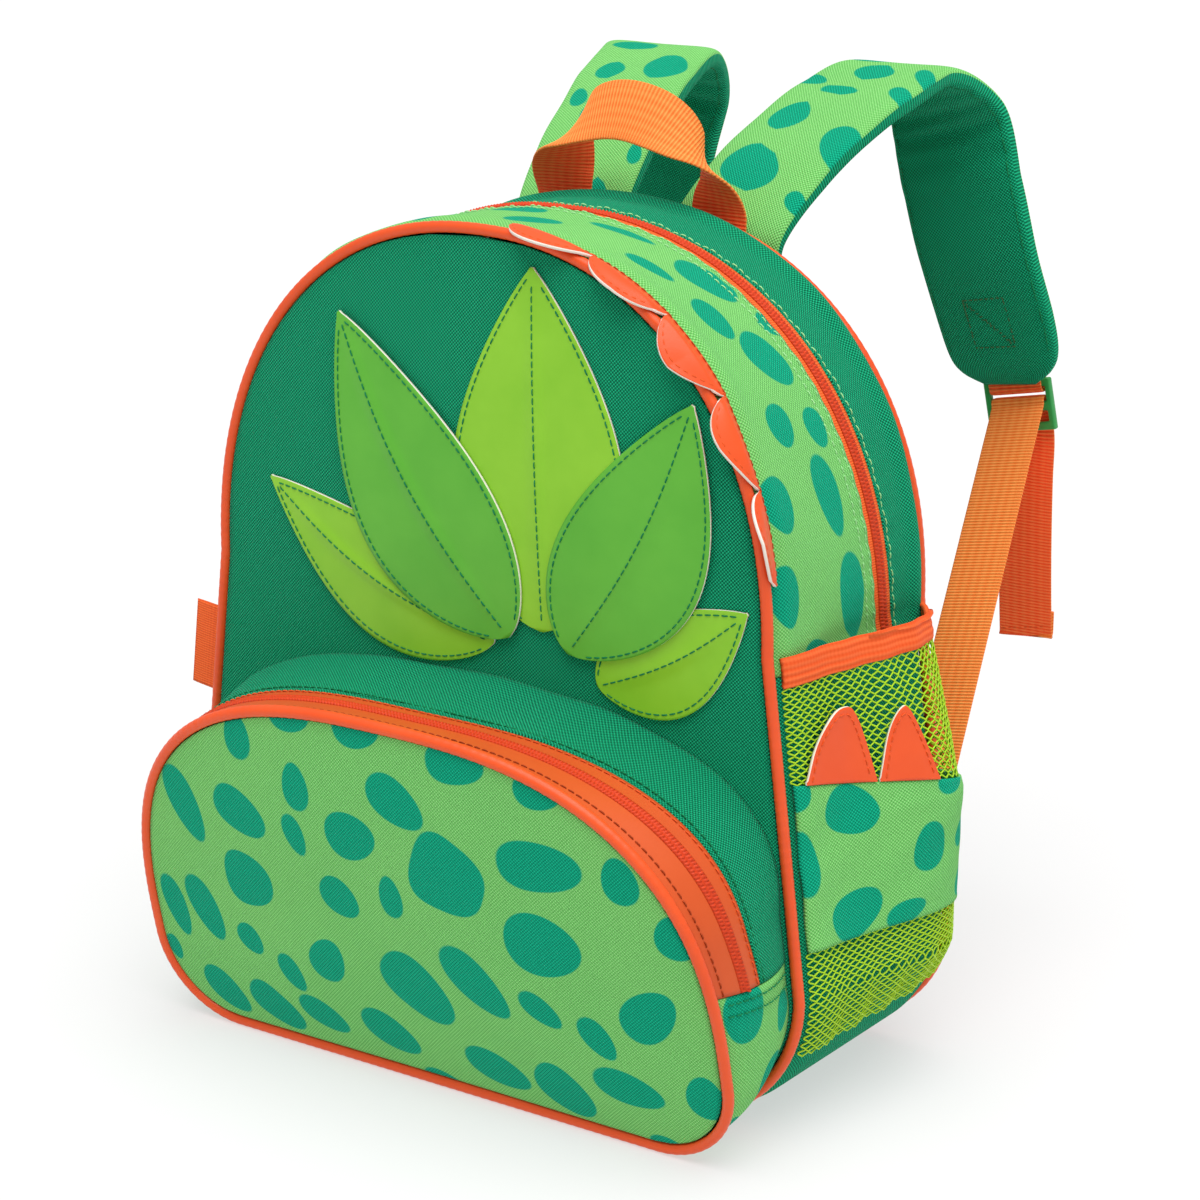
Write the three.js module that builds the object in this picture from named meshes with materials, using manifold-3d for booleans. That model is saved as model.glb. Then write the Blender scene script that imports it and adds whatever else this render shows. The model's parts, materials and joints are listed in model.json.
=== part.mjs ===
// Child's backpack: an arched main compartment with a wrap-round zip, a bulging front pocket,
// net side pockets with pointed tabs, a webbing grab handle and two padded shoulder straps.
// Millimetres, +Z up, the front faces -Y, the flat base lies on z = 0.

import * as THREE from 'three';
import { mergeVertices } from 'three/addons/utils/BufferGeometryUtils.js';
import Module from 'manifold-3d';

// Main body: the arch of the front rim, and how the back rim differs from it
const BODY_ARCH = { low: 142, top: 126, shoulder: 187, corner: 56, power: 2.17, height: 330 };
const BODY_DEPTH = 106;
const HALF_DEPTH = BODY_DEPTH / 2;
const BACK_FLARE = 0.044;
const BACK_DROP = 0.018;
const RIM_LIFT = 3;
const PANEL_CENTRE_Z = 165;
const PANEL_THICKNESS = 1.8;
const BACK_PANEL_THICKNESS = 5;
const FRONT_DOME = 7;
const BACK_DOME = 3;

// Shared cloth, seam and gap sizes
const GAP = 0.3;
const PIPING_RADIUS = 2.2;
const SEAM_INSET = PIPING_RADIUS + 0.4;
const CLOTH = 2;
const VINYL = 1.2;

// Gusset: how far it swells outside the rim, and where its zip runs
const GUSSET_SWELL = 3;
const GUSSET_HEM = 10;
const GUSSET_END_Z = 182;
const ZIP_TAPE_WIDTH = 11;
const ZIP_TOP_Y = 3;
const ZIP_END_Y = 22;
const COIL_WIDTH = 5.5;
const COIL_HEIGHT = 1.2;

// Front pocket: the rim of its face, the arch where it is sewn to the front panel, and its depth
const POCKET_ARCH = { low: 135, top: 135, shoulder: 36, corner: 34.5, power: 2.68, height: 155.6 };
const POCKET_SEAM_ARCH = { low: 138.5, top: 134, shoulder: 86, corner: 52, power: 2.5, height: 158 };
const POCKET_LIFT = 2.7;
const POCKET_SEAM_LIFT = 6.4;
const POCKET_CENTRE_Z = 72;
const POCKET_BASE_DEPTH = 31;
const POCKET_FACE_TILT = 0.222;
const POCKET_DOME = 9;
const POCKET_SIDE_SWELL = 5;
const POCKET_TOP_SAG = 5;
const POCKET_ZIP_START = 0.53;
const POCKET_COIL_AT = 0.72;
const POCKET_ZIP_RIGHT = THREE.MathUtils.degToRad(1.3);
const POCKET_ZIP_LEFT = THREE.MathUtils.degToRad(-4);

// Side pockets: heights of the seams at the front and rear, and the bulge at each height
const SIDE_POCKET_FRONT_Y = -48;
const SIDE_POCKET_REAR_Y = 49;
const SIDE_SEAMS = {
  mouth: { front: 189, rear: 191 },
  binding_low: { front: 177.5, rear: 179.5 },
  band_top: { front: 141, rear: 122 },
  band_low: { front: 77, rear: 75 },
  foot: { front: 35, rear: 46 },
};
const SIDE_BULGE = [
  { height: 35, bulge: 2 },
  { height: 46, bulge: 5 },
  { height: 60, bulge: 12 },
  { height: 76, bulge: 15 },
  { height: 122, bulge: 23 },
  { height: 141, bulge: 21 },
  { height: 192, bulge: 12 },
];
const SIDE_FULLEST = 1.9;
const SIDE_GAP = 0.6;
const NET_THICKNESS = 1.2;
const BINDING_THICKNESS = 2.4;
const TABS = [
  { name: 'front', from: -44, to: -13, peak: 0.72 },
  { name: 'rear', from: -12, to: 12, peak: 0.55 },
];
const TAB_HEIGHT = 29;
const TAB_POINT = 1.5;
const TAB_HEM = 1;

// Scalloped trim in the seam beside the front piping, on the +X half only
const TRIM_FROM_TURN = 0.487;
const TRIM_TO_TURN = 0.3187;
const TRIM_LOBES = 5;
const TRIM_HEIGHT = 12;
const TRIM_SEAM_HEIGHT = 1.5;
const TRIM_ROUNDNESS = 0.7;
const TRIM_RISE = 0.02;
const TRIM_LIE = [
  { y: -46.4, out: 1 },
  { y: -51.8, out: 2.6 },
  { y: -54, out: 2.8 },
];

// Leaf shapes sewn on the front panel: midrib from base to tip, widest half-width, sideways bow,
// and whether the leaf lies on the panel (0) or over its neighbours (1)
const LEAVES = [
  { name: 'leaf_low_left', base_x: 12, base_z: 178, tip_x: -98, tip_z: 226, half: 23, bow: 8, layer: 0 },
  { name: 'leaf_upper_left', base_x: 20, base_z: 182, tip_x: -62, tip_z: 296, half: 32, bow: 8, layer: 1 },
  { name: 'leaf_top', base_x: 34, base_z: 186, tip_x: 26, tip_z: 322, half: 38, bow: 0, layer: 0 },
  { name: 'leaf_upper_right', base_x: 46, base_z: 180, tip_x: 96, tip_z: 280, half: 30, bow: -6, layer: 1 },
  { name: 'leaf_low_right', base_x: 58, base_z: 169, tip_x: 119, tip_z: 206, half: 20, bow: -4, layer: 0 },
];
const LEAF_STEPS = 8;
const LEAF_BELLY = 0.75;
const LEAF_ROUNDNESS = 0.85;
const LEAF_TIP = 0.6;

// Grab handle: webbing stations on the -X half, with the direction of the webbing's inner edge
const HANDLE_WIDTH = 25;
const WEBBING = 1.8;
const HANDLE_ROUTE = [
  { x: -36, y: 57.8, z: 300, across: [1, 0, 0] },
  { x: -36, y: 57.6, z: 320, across: [1, 0, 0] },
  { x: -36.5, y: 57.6, z: 332, across: [1, 0.03, 0.1] },
  { x: -36, y: 54.5, z: 345, across: [0.88, 0.28, 0.4] },
  { x: -29, y: 49.5, z: 355, across: [0.55, 0.45, 0.7] },
  { x: -16, y: 45.5, z: 362, across: [0.22, 0.5, 0.84] },
];
const HANDLE_CROWN = { x: 0, y: 44, z: 365, across: [0, 0.5, 0.87] };

// Shoulder strap stations on the +X side, from the root seam over the crown to the rounded end
const STRAP_ROUTE = [
  { x: 36, y: 61.9, z: 298, width: 50, thick: 5 },
  { x: 37, y: 64, z: 318, width: 51, thick: 8 },
  { x: 42, y: 88, z: 339, width: 52, thick: 10 },
  { x: 47, y: 113, z: 353, width: 52, thick: 10 },
  { x: 52, y: 136, z: 363, width: 53, thick: 10 },
  { x: 58, y: 165, z: 369, width: 53, thick: 10 },
  { x: 67, y: 187, z: 352, width: 54, thick: 10 },
  { x: 75, y: 189, z: 322, width: 54, thick: 10 },
  { x: 82, y: 191, z: 294, width: 54, thick: 10 },
  { x: 88, y: 198, z: 266, width: 54, thick: 9 },
  { x: 91, y: 202, z: 250, width: 51, thick: 8 },
  { x: 92.4, y: 203.8, z: 242, width: 42, thick: 6 },
  { x: 93.3, y: 204.9, z: 236, width: 24, thick: 4 },
];
const STRAP_SQUARENESS = 0.45;

// Ladder lock behind the strap's end and the webbing through it
const LOCK = { width: 31.5, bar: 3.5, slot: 6.5, grip: 4, lower_slot: 5, thick: 3.2, slot_width: 26 };
const LOCK_DOWN = new THREE.Vector3(0.2, 0, -1).normalize();
const LOCK_BEHIND = 6.1;
// Webbing loop on the strap's outer face: distance up from the strap's end, and out from its middle
const LOOP_LAYER = 1.65;
const LOOP_CLEAR = -0.6;
const LOOP_LIE = [
  { up: 14, out: 4.8 },
  { up: 6, out: 3.9 },
];
const ADJUSTER_WIDTH = 25;
const ADJUSTER_THICK = 1.3;
const ADJUSTER_SEAM = [
  { x: 121, y: 73, z: 76 },
  { x: 121.5, y: 61, z: 58 },
  { x: 121.8, y: 57.5, z: 46 },
  { x: 122, y: 57, z: 32 },
];
const LOCK_LEAVE = { run: 3, tail: 2, off: 1, tail_off: 0.5 };
const TAIL_END_Z = 122;
const TAIL_LEAN = 6;

// Bare tab sewn in the -X seam
const SEAM_TAB = { low: 128, high: 164, reach: 15.5, thick: 1.2, y: -50.2 };

// Pocket zip slider and its pull
const SLIDER = { length: 10, width: 8, height: 3 };
const BAIL = { width: 2.2, reach: 3.4, bar: 1.2, half: 3.6, sunk: 0.5, taper: 0.6 };
const PULL = { half_width: 3.6, arm: 1.2, bar: 1.1, window: 5.6, length: 15, thick: 1.1, corner: 2 };
const SLIDER_RISE = COIL_HEIGHT + 3 * GAP;
const SLIDER_BACK_ANGLE = 0.1;

// Facet counts
const OUTLINE_STEPS = 480;
const CROWN_STEPS = 60;
const LOOP_STEPS = 38;
const PANEL_ROWS = [0.15, 0.6, 1];
const ARC_STEPS = 28;
const PIPING_SIDES = 6;
const SOLVE_STEPS = 40;
const SIDE_STEPS = 8;
const TAB_STEPS = 8;
const TRIM_STEPS = TRIM_LOBES * 6;
const HANDLE_STEPS = 26;
const STRAP_STEPS = 24;
const STRAP_SIDES = 8;
const TAIL_STEPS = 5;

// Small clearances along a run: shares of a turn, of a pocket wall's reach, and radians
const END_GAP_TURN = 0.0005;
const SLIDER_TURN = 0.003;
const MAIN_SLIDER_UP = 0.012;
const BAND_GAP = 0.008;
const COIL_HALF = 0.05;
const ANGLE_GAP = 0.004;
const RUN_ANGLE = 0.03;

const { lerp, euclideanModulo, clamp } = THREE.MathUtils;
const wasm = await Module();
wasm.setup();

// An arch outline, closed, from the bottom centre round by +X, in steps of equal length
function archOutline(arch) {
  const path = new THREE.Path();
  const inner = arch.low - arch.corner;
  const crown = arch.height - arch.shoulder;
  const power = 2 / arch.power;
  path.moveTo(0, 0);
  path.lineTo(inner, 0);
  path.absarc(inner, arch.corner, arch.corner, -Math.PI / 2, 0);
  path.lineTo(arch.top, arch.shoulder);
  for (let i = 1; i < CROWN_STEPS; i += 1) {
    const angle = (Math.PI * i) / CROWN_STEPS;
    const side = Math.cos(angle);
    const x = Math.sign(side) * arch.top * Math.abs(side) ** power;
    path.lineTo(x, arch.shoulder + crown * Math.sin(angle) ** power);
  }
  path.lineTo(-arch.top, arch.shoulder);
  path.lineTo(-arch.low, arch.corner);
  path.absarc(-inner, arch.corner, arch.corner, Math.PI, 1.5 * Math.PI);
  path.lineTo(0, 0);
  return path.getSpacedPoints(OUTLINE_STEPS);
}

// A function of turn (0 at the bottom centre, 0.5 at the top) that gives a point and its outward normal
function traced(arch, lift) {
  const points = archOutline(arch);
  return (turn) => {
    const place = euclideanModulo(turn, 1) * OUTLINE_STEPS;
    const i = Math.min(Math.floor(place), OUTLINE_STEPS - 1);
    const along = new THREE.Vector2().subVectors(points[i + 1], points[i]).normalize();
    const at = new THREE.Vector2().lerpVectors(points[i], points[i + 1], place - i);
    return { x: at.x, z: at.y + lift, nx: along.y, nz: -along.x };
  };
}

// The input between low and high at which a rising function reaches a value
function solve(rising, value, low, high) {
  let from = low;
  let to = high;
  for (let i = 0; i < SOLVE_STEPS; i += 1) {
    const middle = (from + to) / 2;
    if (rising(middle) < value) from = middle;
    else to = middle;
  }
  return (from + to) / 2;
}

// The turn at which an outline crosses a ray from the centre, the angle counted from +X
function turnAtAngle(rim, centreZ, angle) {
  const wanted = euclideanModulo(angle + Math.PI / 2, 2 * Math.PI);
  const swept = (turn) => {
    const at = rim(turn);
    return euclideanModulo(Math.atan2(at.z - centreZ, at.x) + Math.PI / 2, 2 * Math.PI);
  };
  return solve(swept, wanted, 1e-6, 1 - 1e-6);
}

const bodyRim = traced(BODY_ARCH, RIM_LIFT);
const pocketRim = traced(POCKET_ARCH, POCKET_LIFT);
const pocketSeam = traced(POCKET_SEAM_ARCH, POCKET_SEAM_LIFT);

// A point on the body's wall: turn round the arch, depth y, and distance outside the rim
function bodyPoint(turn, y, out) {
  const rim = bodyRim(turn);
  const back = (y + HALF_DEPTH) / BODY_DEPTH;
  const x = rim.x * (1 + BACK_FLARE * back) + rim.nx * out;
  const z = RIM_LIFT + (rim.z - RIM_LIFT) * (1 - BACK_DROP * back) + rim.nz * out;
  return new THREE.Vector3(x, y, z);
}

// The turn on the +X side at which the front rim has a given height
function turnAtHeight(z) {
  return solve((turn) => bodyRim(turn).z, z, 0.02, 0.5);
}

// A closed skin through rings of points; each ring lists an outer edge and then the inner edge back
function loft(rings, closed = false) {
  const width = rings[0].length;
  const faces = [];
  const spans = closed ? rings.length : rings.length - 1;
  for (let r = 0; r < spans; r += 1) {
    const here = r * width;
    const next = ((r + 1) % rings.length) * width;
    for (let c = 0; c < width; c += 1) {
      const d = (c + 1) % width;
      faces.push([here + c, here + d, next + d], [here + c, next + d, next + c]);
    }
  }
  if (!closed) {
    const last = (rings.length - 1) * width;
    for (let a = 0; a < width / 2 - 1; a += 1) {
      const [b, c, d] = [a + 1, width - 2 - a, width - 1 - a];
      faces.push([b, a, d], [b, d, c]);
      faces.push([last + a, last + b, last + d], [last + b, last + c, last + d]);
    }
  }
  return skin(rings.flat(), faces);
}

// A geometry from points and triangles, turned so that its faces point out
function skin(points, faces) {
  let volume = 0;
  for (const [a, b, c] of faces) {
    volume += new THREE.Vector3().crossVectors(points[b], points[c]).dot(points[a]);
  }
  const outward = volume > 0 ? faces : faces.map(([a, b, c]) => [a, c, b]);
  const geometry = new THREE.BufferGeometry().setFromPoints(points);
  geometry.setIndex(outward.flat());
  geometry.computeVertexNormals();
  return geometry;
}

// A wall's section: the outer edge forwards, then the inner edge back
function section(outer, inner) {
  return [...outer, ...inner.reverse()];
}

// Evenly spaced values from a to b, both ends included
function spaced(a, b, steps) {
  return Array.from({ length: steps + 1 }, (_, i) => lerp(a, b, i / steps));
}

function material(colour, roughness, metalness = 0) {
  return new THREE.MeshStandardMaterial({ color: colour, roughness, metalness });
}

const twill = () => material(0x0e8a55, 0.85);
const printed = () => material(0x74c45f, 0.85);
const orangeVinyl = () => material(0xf5622f, 0.4);
const limeVinyl = () => material(0x8ccb2a, 0.4);
const webbingCloth = () => material(0xf0742e, 0.8);
const netting = () => material(0xb5e01e, 0.8);
const plastic = () => material(0x2f8f3f, 0.45);
const darkMetal = () => material(0x3a3632, 0.35, 0.9);

const bag = new THREE.Group();

function add(name, geometry, finish) {
  const mesh = new THREE.Mesh(geometry, finish);
  mesh.name = name;
  bag.add(mesh);
}

// A domed panel inside a rim: rings run from the middle of its face out to the seam and back behind
function panel(place, thickness) {
  const turns = spaced(0, 1, LOOP_STEPS).slice(0, -1);
  const face = PANEL_ROWS.map((row) => turns.map((turn) => place(turn, row)));
  const behind = face.map((ring) => ring.map((p) => p.clone().add(new THREE.Vector3(0, thickness, 0))));
  return loft([...face, ...behind.reverse()]);
}

// A point inside a rim, row 0 at the centre and row 1 at the seam allowance
function insideRim(rim, centreZ, turn, row) {
  const at = rim(turn);
  return {
    x: (at.x - at.nx * SEAM_INSET) * row,
    z: lerp(centreZ, at.z - at.nz * SEAM_INSET, row),
  };
}

// Depth of the front panel's outer face over a point
function frontFaceY(x, z) {
  const turn = turnAtAngle(bodyRim, PANEL_CENTRE_Z, Math.atan2(z - PANEL_CENTRE_Z, x));
  const edge = insideRim(bodyRim, PANEL_CENTRE_Z, turn, 1);
  const row = Math.hypot(x, z - PANEL_CENTRE_Z) / Math.hypot(edge.x, edge.z - PANEL_CENTRE_Z);
  return -HALF_DEPTH - PANEL_THICKNESS / 2 - FRONT_DOME * (1 - row ** 2);
}

function pocketRimY(z) {
  return -HALF_DEPTH - POCKET_BASE_DEPTH - POCKET_FACE_TILT * (z - POCKET_LIFT);
}

// A round bead along a closed rim
function piping(centreAt) {
  const rings = spaced(0, 1, LOOP_STEPS).slice(0, -1).map((turn) => {
    const { centre, out, depth } = centreAt(turn);
    return spaced(0, 2 * Math.PI, PIPING_SIDES).slice(0, -1).map((angle) => centre.clone()
      .addScaledVector(out, PIPING_RADIUS * Math.cos(angle))
      .addScaledVector(depth, PIPING_RADIUS * Math.sin(angle)));
  });
  return loft(rings, true);
}

const ALONG_Y = new THREE.Vector3(0, 1, 0);

function bodyPiping(y) {
  return piping((turn) => {
    const rim = bodyRim(turn);
    return { centre: bodyPoint(turn, y, 0), out: new THREE.Vector3(rim.nx, 0, rim.nz), depth: ALONG_Y };
  });
}

// Front and back panels with their piping
add('front_panel', panel((turn, row) => {
  const { x, z } = insideRim(bodyRim, PANEL_CENTRE_Z, turn, row);
  return new THREE.Vector3(x, -HALF_DEPTH - PANEL_THICKNESS / 2 - FRONT_DOME * (1 - row ** 2), z);
}, PANEL_THICKNESS), twill());
add('back_panel', panel((turn, row) => {
  const { x, z } = insideRim(bodyRim, PANEL_CENTRE_Z, turn, row);
  const y = HALF_DEPTH - BACK_PANEL_THICKNESS / 2 + BACK_DOME * (1 - row ** 2);
  const high = RIM_LIFT + (z - RIM_LIFT) * (1 - BACK_DROP);
  return new THREE.Vector3(x * (1 + BACK_FLARE), y, high);
}, BACK_PANEL_THICKNESS), twill());
add('front_piping', bodyPiping(-HALF_DEPTH), orangeVinyl());
add('rear_piping', bodyPiping(HALF_DEPTH), orangeVinyl());

// Depth of the zip's middle: it drifts back from the crown to each lower end
const ARC_END = turnAtHeight(GUSSET_END_Z);
const ARC_TURNS = spaced(ARC_END, 1 - ARC_END, ARC_STEPS);

function zipMiddle(turn) {
  return lerp(ZIP_TOP_Y, ZIP_END_Y, Math.abs(turn - 0.5) / (0.5 - ARC_END));
}

// How far the gusset's outer face stands outside the rim at depth y
function gussetOut(y) {
  const hem = (HALF_DEPTH - SEAM_INSET - Math.abs(y)) / GUSSET_HEM;
  return lerp(-1, GUSSET_SWELL, clamp(hem, 0, 1));
}

function gussetSection(turn, depths, thickness, raise = 0) {
  const outer = depths.map((y) => bodyPoint(turn, y, gussetOut(y) + raise));
  const inner = depths.map((y) => bodyPoint(turn, y, gussetOut(y) + raise - thickness));
  return section(outer, inner);
}

const FRONT_SEAM_Y = -HALF_DEPTH + SEAM_INSET;
const REAR_SEAM_Y = HALF_DEPTH - SEAM_INSET;
const HALF_TAPE = ZIP_TAPE_WIDTH / 2;

add('gusset_front_band', loft(ARC_TURNS.map((turn) => gussetSection(
  turn,
  [FRONT_SEAM_Y, FRONT_SEAM_Y + GUSSET_HEM, zipMiddle(turn) - HALF_TAPE - GAP],
  CLOTH,
))), printed());
add('main_zip_tape', loft(ARC_TURNS.map((turn) => gussetSection(
  turn,
  [zipMiddle(turn) - HALF_TAPE, zipMiddle(turn) + HALF_TAPE],
  VINYL,
  -GAP,
))), orangeVinyl());
add('main_zip_coil', loft(ARC_TURNS.map((turn) => gussetSection(
  turn,
  [zipMiddle(turn) - COIL_WIDTH / 2, zipMiddle(turn) + COIL_WIDTH / 2],
  COIL_HEIGHT,
  COIL_HEIGHT,
))), orangeVinyl());
add('gusset_rear_band', loft(ARC_TURNS.map((turn) => gussetSection(
  turn,
  [zipMiddle(turn) + HALF_TAPE + GAP, REAR_SEAM_Y - GUSSET_HEM, REAR_SEAM_Y],
  CLOTH,
))), twill());

// Lower gusset and base in one strip, flat where it stands
const BASE_TURNS = spaced(-ARC_END + END_GAP_TURN, ARC_END - END_GAP_TURN, ARC_STEPS);
add('base_gusset', loft(BASE_TURNS.map((turn) => gussetSection(
  turn,
  [FRONT_SEAM_Y, FRONT_SEAM_Y + GUSSET_HEM, REAR_SEAM_Y - GUSSET_HEM, REAR_SEAM_Y],
  CLOTH,
))), twill());

// Main zip's slider near the -X end, above the side pocket's mouth, a plain block
const MAIN_SLIDER_LOW = 1 - ARC_END - MAIN_SLIDER_UP - SLIDER_TURN;
const MAIN_SLIDER_TURNS = spaced(MAIN_SLIDER_LOW - 3 * SLIDER_TURN, MAIN_SLIDER_LOW, 2);
add('main_zip_slider', loft(MAIN_SLIDER_TURNS.map((turn) => gussetSection(
  turn,
  [zipMiddle(turn) - SLIDER.width / 2, zipMiddle(turn) + SLIDER.width / 2],
  SLIDER.height,
  SLIDER_RISE + SLIDER.height,
))), darkMetal());

// Scalloped trim: lobes that spring from the seam and lean forward over the piping
function trimSection(turn, height) {
  const front = TRIM_LIE.at(-1);
  const rows = [...TRIM_LIE, { y: front.y - height, out: front.out + height * TRIM_RISE }];
  const outer = rows.map((row) => bodyPoint(turn, row.y, row.out + VINYL));
  const inner = rows.map((row) => bodyPoint(turn, row.y, row.out));
  return section(outer, inner);
}

add('scalloped_trim', loft(spaced(TRIM_FROM_TURN, TRIM_TO_TURN, TRIM_STEPS).map((turn, i) => {
  const lobe = Math.abs(Math.sin((Math.PI * TRIM_LOBES * i) / TRIM_STEPS));
  return trimSection(turn, TRIM_SEAM_HEIGHT + TRIM_HEIGHT * lobe ** TRIM_ROUNDNESS);
})), orangeVinyl());

// Leaves on the front panel, each a thin lofted blade that follows the dome
function leaf({ base_x, base_z, tip_x, tip_z, half, bow, layer }) {
  const base = new THREE.Vector2(base_x, base_z);
  const along = new THREE.Vector2(tip_x, tip_z).sub(base);
  const side = new THREE.Vector2(-along.y, along.x).normalize();
  const rings = spaced(0, 1, LEAF_STEPS).map((u) => {
    const bowed = bow * Math.sin(Math.PI * u);
    const rib = base.clone().addScaledVector(along, u).addScaledVector(side, bowed);
    const reach = Math.max(half * Math.sin(Math.PI * u ** LEAF_BELLY) ** LEAF_ROUNDNESS, LEAF_TIP);
    const across = spaced(-reach, reach, 4).map((d) => rib.clone().addScaledVector(side, d));
    const lie = (raise) => across.map((p) => new THREE.Vector3(p.x, frontFaceY(p.x, p.y) - raise, p.y));
    const under = GAP + layer * (VINYL + GAP);
    return section(lie(under + VINYL), lie(under));
  });
  return loft(rings);
}

for (const row of LEAVES) add(row.name, leaf(row), limeVinyl());

// Front pocket: face and piping
const pocketNormal = new THREE.Vector3(0, 1, POCKET_FACE_TILT).normalize();
add('pocket_face', panel((turn, row) => {
  const { x, z } = insideRim(pocketRim, POCKET_CENTRE_Z, turn, row);
  return new THREE.Vector3(x, pocketRimY(z) - PANEL_THICKNESS / 2 - POCKET_DOME * (1 - row ** 2), z);
}, PANEL_THICKNESS), printed());
add('pocket_piping', piping((turn) => {
  const at = pocketRim(turn);
  const centre = new THREE.Vector3(at.x, pocketRimY(at.z), at.z);
  return { centre, out: new THREE.Vector3(at.nx, 0, at.nz), depth: pocketNormal };
}), orangeVinyl());

// A point on the pocket's wall: angle round the pocket, 0 at the panel to 1 at the face, and a rise
function pocketPoint(angle, reach, rise) {
  const radial = new THREE.Vector3(Math.cos(angle), 0, Math.sin(angle));
  const seam = pocketSeam(turnAtAngle(pocketSeam, POCKET_CENTRE_Z, angle));
  const rim = pocketRim(turnAtAngle(pocketRim, POCKET_CENTRE_Z, angle));
  const from = new THREE.Vector3(seam.x, frontFaceY(seam.x, seam.z) - GAP, seam.z);
  const to = new THREE.Vector3(rim.x, pocketRimY(rim.z) + SEAM_INSET, rim.z);
  const sag = POCKET_TOP_SAG * Math.max(0, Math.sin(angle));
  const bend = (POCKET_SIDE_SWELL * Math.cos(angle) ** 6 - sag) * Math.sin(Math.PI * reach);
  return from.lerp(to, reach).addScaledVector(radial, bend + rise);
}

function pocketSection(angle, reaches, thickness, raise = 0) {
  const outer = reaches.map((reach) => pocketPoint(angle, reach, raise));
  const inner = reaches.map((reach) => pocketPoint(angle, reach, raise - thickness));
  return section(outer, inner);
}

const POCKET_TOP_ANGLES = spaced(POCKET_ZIP_RIGHT, Math.PI - POCKET_ZIP_LEFT, ARC_STEPS);
const POCKET_LOW_ANGLES = spaced(
  Math.PI - POCKET_ZIP_LEFT + ANGLE_GAP,
  2 * Math.PI + POCKET_ZIP_RIGHT - ANGLE_GAP,
  ARC_STEPS,
);
add('pocket_top_gusset', loft(POCKET_TOP_ANGLES.map((angle) => pocketSection(
  angle,
  [0, POCKET_ZIP_START / 2, POCKET_ZIP_START - BAND_GAP],
  CLOTH,
))), twill());
add('pocket_zip_band', loft(POCKET_TOP_ANGLES.map((angle) => pocketSection(
  angle,
  [POCKET_ZIP_START, POCKET_COIL_AT - COIL_HALF, POCKET_COIL_AT + COIL_HALF, 1],
  VINYL,
))), orangeVinyl());
add('pocket_zip_coil', loft(POCKET_TOP_ANGLES.map((angle) => pocketSection(
  angle,
  [POCKET_COIL_AT - COIL_HALF, POCKET_COIL_AT + COIL_HALF],
  COIL_HEIGHT,
  COIL_HEIGHT + GAP,
))), orangeVinyl());
add('pocket_lower_gusset', loft(POCKET_LOW_ANGLES.map((angle) => pocketSection(
  angle,
  [0, 0.5, 1],
  CLOTH,
))), printed());

// Side pockets: everything is set out on the +X side and mirrored for the other
const SIDE_DEPTHS = [
  SIDE_POCKET_FRONT_Y,
  ...spaced(FRONT_SEAM_Y + GUSSET_HEM, SIDE_POCKET_REAR_Y, SIDE_STEPS),
];

function sideHeight(seam, back) {
  return lerp(seam.front, seam.rear, back);
}

function sideBulge(height) {
  const last = SIDE_BULGE.length - 1;
  const i = clamp(SIDE_BULGE.findIndex((row) => row.height > height) - 1, 0, last - 1);
  const [low, high] = [SIDE_BULGE[i], SIDE_BULGE[i + 1]];
  const mix = clamp((height - low.height) / (high.height - low.height), 0, 1);
  return lerp(low.bulge, high.bulge, mix);
}

function sidePoint(mirror, y, height, raise) {
  const back = (y - SIDE_POCKET_FRONT_Y) / (SIDE_POCKET_REAR_Y - SIDE_POCKET_FRONT_Y);
  const round = Math.sin(Math.PI * clamp(back, 0, 1) ** SIDE_FULLEST);
  const out = gussetOut(y) + SIDE_GAP + sideBulge(height) * round + raise;
  const point = bodyPoint(turnAtHeight(height), y, out);
  point.x *= mirror;
  return point;
}

function sideWall(mirror, lowSeam, highSeam, shares, thickness) {
  return loft(SIDE_DEPTHS.map((y) => {
    const back = (y - SIDE_POCKET_FRONT_Y) / (SIDE_POCKET_REAR_Y - SIDE_POCKET_FRONT_Y);
    const low = sideHeight(lowSeam, back);
    const high = sideHeight(highSeam, back);
    const heights = shares.map((share) => lerp(low, high, share));
    const outer = heights.map((height) => sidePoint(mirror, y, height, thickness));
    const inner = heights.map((height) => sidePoint(mirror, y, height, 0));
    return section(outer, inner);
  }));
}

function sideTab(mirror, { from, to, peak: at }) {
  return loft(spaced(from, to, TAB_STEPS).map((y, i) => {
    const back = (y - SIDE_POCKET_FRONT_Y) / (SIDE_POCKET_REAR_Y - SIDE_POCKET_FRONT_Y);
    const low = sideHeight(SIDE_SEAMS.band_top, back) + GAP;
    const share = i / TAB_STEPS;
    const slope = share < at ? (at - share) / at : (share - at) / (1 - at);
    const peak = Math.max((1 - slope ** TAB_POINT) * TAB_HEIGHT, TAB_HEM);
    const heights = spaced(low, low + peak, 2);
    const raise = NET_THICKNESS + GAP;
    const outer = heights.map((height) => sidePoint(mirror, y, height, raise + VINYL));
    const inner = heights.map((height) => sidePoint(mirror, y, height, raise));
    return section(outer, inner);
  }));
}

const below = (seam) => ({ front: seam.front - GAP, rear: seam.rear - GAP });

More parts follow.
